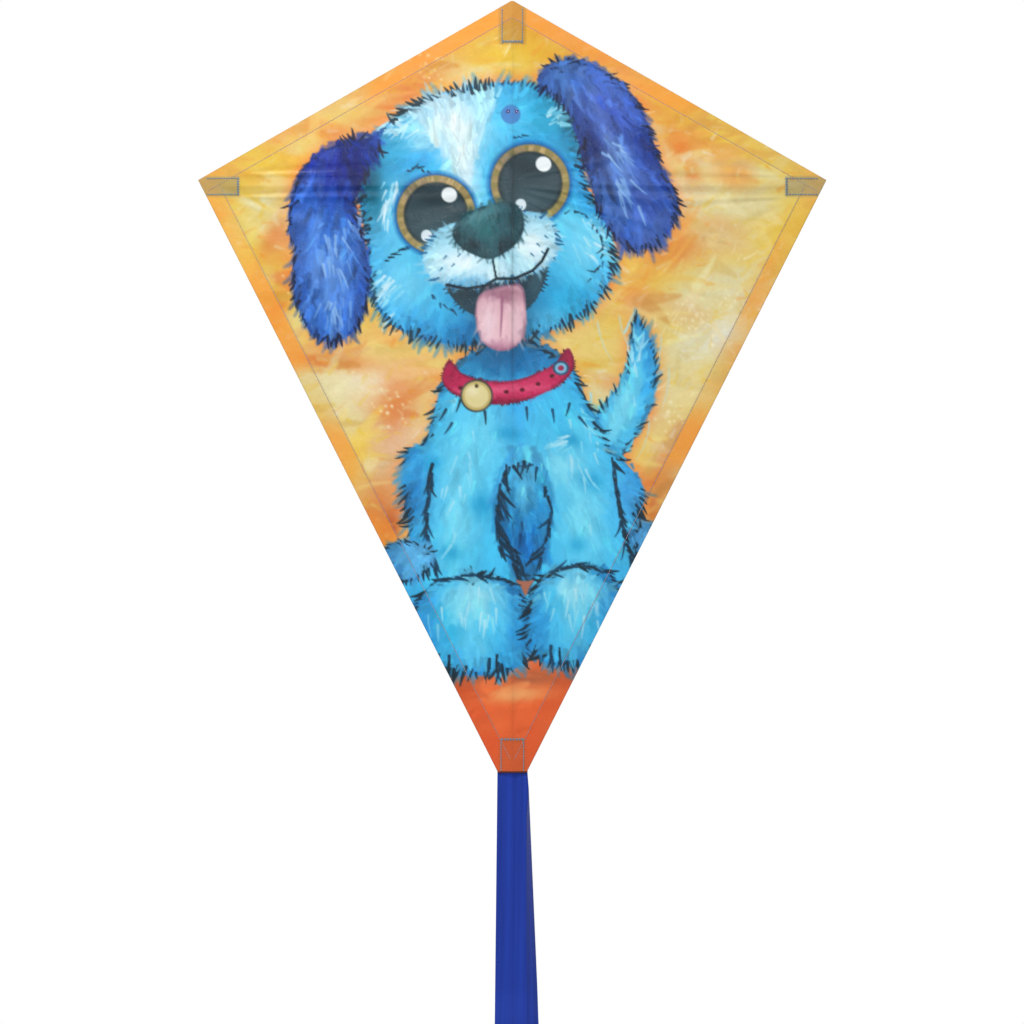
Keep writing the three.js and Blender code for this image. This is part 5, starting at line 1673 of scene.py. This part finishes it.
def ribbon_path():
    """The ribbon's middle line as (y, z) points, from its sewn end to its free end."""
    drop = np.hstack([np.linspace(TAIL_TOP_Z, TAIL_HINGE_Z, 10),
                      np.linspace(TAIL_HINGE_Z, HANK_TOP_Z, 110)[1:]])
    forward = smoothstep(drop, HANK_TOP_Z + APPROACH, HANK_TOP_Z)
    path = list(zip(lerp(TAIL_MID_Y, FIRST_RUN_Y, forward), drop))
    for run in range(RUN_COUNT):
        jitter = rng.uniform(0, 3 * MM, 2)
        ends = (HANK_TOP_Z - jitter[0], HANK_BOTTOM_Z + jitter[1])
        start, stop = ends if run % 2 == 0 else ends[::-1]
        y = FIRST_RUN_Y + RUN_PITCH * run
        path += [(TAIL_MID_Y + (y - TAIL_MID_Y) * squeezed(z), z) for z in np.linspace(start, stop, 34)]
        half, heading = RUN_PITCH / 2, np.sign(stop - start)
        for turn in np.linspace(0, math.pi, 7)[1:-1]:
            path.append((y + half - half * math.cos(turn), stop + heading * half * math.sin(turn)))
    path = np.array(path)
    travelled = np.hstack([0, np.cumsum(np.hypot(*np.diff(path, axis=0).T))])
    keep = travelled <= RIBBON_LENGTH
    return path[keep], travelled[keep]


def flap_shows(z):
    """Share of the width of the ribbon's folded part that shows beside the rest. Below 0 it lies behind."""
    levels = (HANK_TOP_Z - 50 * MM, VIEW_BOTTOM_Z, FOOT_Z - 45 * MM, FOOT_Z - 15 * MM, FOOT_Z - 2 * MM)
    return float(np.interp(z, levels, (1, 0.68, 0.17, 0, -0.998)))


def folded_columns(z, on_drop):
    """The ribbon's left edge, and how far its columns lie across and behind, with the right part folded."""
    down = np.clip((FOOT_Z - z) / (FOOT_Z - TAIL_DROP_END_Z), 0, 1)
    left = lerp(*TAIL_LEFT_X, down)
    width = lerp(*TAIL_RIGHT_X, down) - left
    shows = flap_shows(z) if on_drop else 1
    beside = max(0, shows)
    panel = np.clip((width - RIBBON_WIDTH * beside) / max(1 - beside, 0.1), *PANEL_WIDTHS)
    turn = math.acos(shows) * smoothstep(RIBBON_COLUMNS, panel - CREASE_REACH, panel + CREASE_REACH)
    middle_turn = (turn[1:] + turn[:-1]) / 2
    steps = np.diff(RIBBON_COLUMNS)
    across = np.hstack([0, np.cumsum(steps * np.cos(middle_turn))])
    depth = np.hstack([0, np.cumsum(steps * np.sin(middle_turn))])
    return left, across, depth


def ribbon_row(y, z, slope_y, slope_z, distance):
    """The points across the ribbon at one place on its middle line."""
    on_drop = distance < FREE_LENGTH + FIRST_RUN_BLEND
    left, across, depth = folded_columns(z, on_drop)
    left = lerp(left, HANK_LEFT_X, smoothstep(distance, FREE_LENGTH - 6 * MM, FREE_LENGTH + FIRST_RUN_BLEND))
    if on_drop:
        x = left + across
        root_y = cloth_y(x, np.full(x.shape, z)) + TAIL_REST_LIFT + 0.2 * MM
        sewn = smoothstep(z, TAIL_HINGE_Z - SEWN_REACH, FOOT_Z)
        return np.stack([x, lerp(y, root_y, sewn) - depth * slope_z, z + depth * slope_y], 1)
    from_tie = smoothstep(abs(z - HANK_MIDDLE_Z), TIE_WIDTH / 2, 45 * MM)
    sway = 1.5 * MM * math.sin(23 * distance) * from_tie
    x = HANK_MIDDLE_X + (left + across - HANK_MIDDLE_X) * lerp(0.9, 1, from_tie) + sway
    gathered = 0.14 * MM * np.sin(across / (3.1 * MM)) * (1 - from_tie)
    waves = 0.2 * MM * np.sin(across / (7 * MM) + 40 * distance) * from_tie
    return np.stack([x, y + depth + gathered + waves, np.full(x.shape, z)], 1)


def make_ribbon():
    path, travelled = ribbon_path()
    slope = np.gradient(path, axis=0)
    slope /= np.hypot(*slope.T)[:, None]
    rows = [ribbon_row(*spot, *way, distance) for spot, way, distance in zip(path, slope, travelled)]
    uvs = [[(column, distance) for column in RIBBON_COLUMNS] for distance in travelled]
    shape = Shape()
    shape.grid(rows, uvs=uvs)
    made = shape.piece("tail_ribbon_cloth", RIBBON_FINISH, body=None,
                       replaces=["tail_root", "tail_ribbon", "tail_hank"])
    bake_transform(made)
    return made


def make_tail_seam():
    z = FOOT_Z + 4 * MM
    seam("tail_seam", [([(-12 * MM, z), (12 * MM, z)], lambda x, z: TAIL_REST_LIFT + 1.9 * MM)])


def make_tie():
    """A ribbed elastic band round the middle of the hank."""
    shape = Shape()
    half_x = 0.45 * HANK_WIDTH + 0.6 * MM
    half_y = TIE_SQUEEZE * RUN_PITCH * RUN_COUNT / 2 + 0.9 * MM
    turns = np.linspace(0, 2 * math.pi, 120, endpoint=False)
    loop_x, loop_y = (np.sign(way) * np.abs(way) ** TIE_SQUARENESS for way in (np.cos(turns), np.sin(turns)))
    heights = np.linspace(-0.5, 0.5, 31) * TIE_WIDTH
    outside = [(TIE_THICKNESS + TIE_RIB * math.cos(height / TIE_WIDTH * 2 * math.pi * TIE_RIBS), height, 1)
               for height in heights]
    inside = [(0, height, 0.98) for height in heights[::-1]]
    rows, uvs = [], []
    for out, height, share in outside + inside + outside[:1]:
        rows.append(np.stack([HANK_MIDDLE_X + loop_x * (half_x + out), TAIL_MID_Y + loop_y * (half_y + out),
                              np.full(turns.shape, HANK_MIDDLE_Z + height * share)], 1))
        uvs.append([(turn * 20 * MM, height) for turn in turns])
    shape.grid(rows, closed=True, uvs=uvs)
    shape.piece("tail_tie_elastic", ELASTIC_FINISH, body="tail", replaces=["tail_tie"])


# ---------------------------------------------------------------- floor

FLOOR_Z = -1.10
FLOOR_SIDES = 96


def make_floor():
    shape = Shape()
    radii = np.linspace(0.01, 1.0, 12)
    rings = [ring((0, 0, FLOOR_Z), radius, (1, 0, 0), (0, 1, 0), FLOOR_SIDES) for radius in radii]
    shape.grid(rings, closed=True)
    shape.faces.append(tuple(range(FLOOR_SIDES)))
    shape.placed("floor", floor_finish())


# ---------------------------------------------------------------- the whole kite

make_floor()
sail = make_sail()

pockets = [
    (make_spine_pocket("nose_pocket", NOSE_Z - 1 * MM, NOSE_Z - NOSE_POCKET_LENGTH, 40,
                       NOSE_POCKET_HALF_WIDTH, "bottom"), (2 * NOSE_POCKET_HALF_WIDTH, NOSE_POCKET_LENGTH)),
    (make_spine_pocket("foot_pocket", FOOT_Z + FOOT_POCKET_LENGTH, FOOT_Z + POCKET_MARGIN, 34,
                       FOOT_POCKET_HALF_WIDTH, "top"), (2 * FOOT_POCKET_HALF_WIDTH, FOOT_POCKET_LENGTH)),
    (make_wing_pocket(-1, "left_wing_pocket"), (WING_POCKET_LENGTH, WING_POCKET_HEIGHT)),
    (make_wing_pocket(1, "right_wing_pocket"), (WING_POCKET_LENGTH, WING_POCKET_HEIGHT)),
]

patch = make_tow_patch()

make_seams()
make_rods()
make_caps()
make_centre_fitting()

ribbon = make_ribbon()
make_tail_seam()
make_tie()
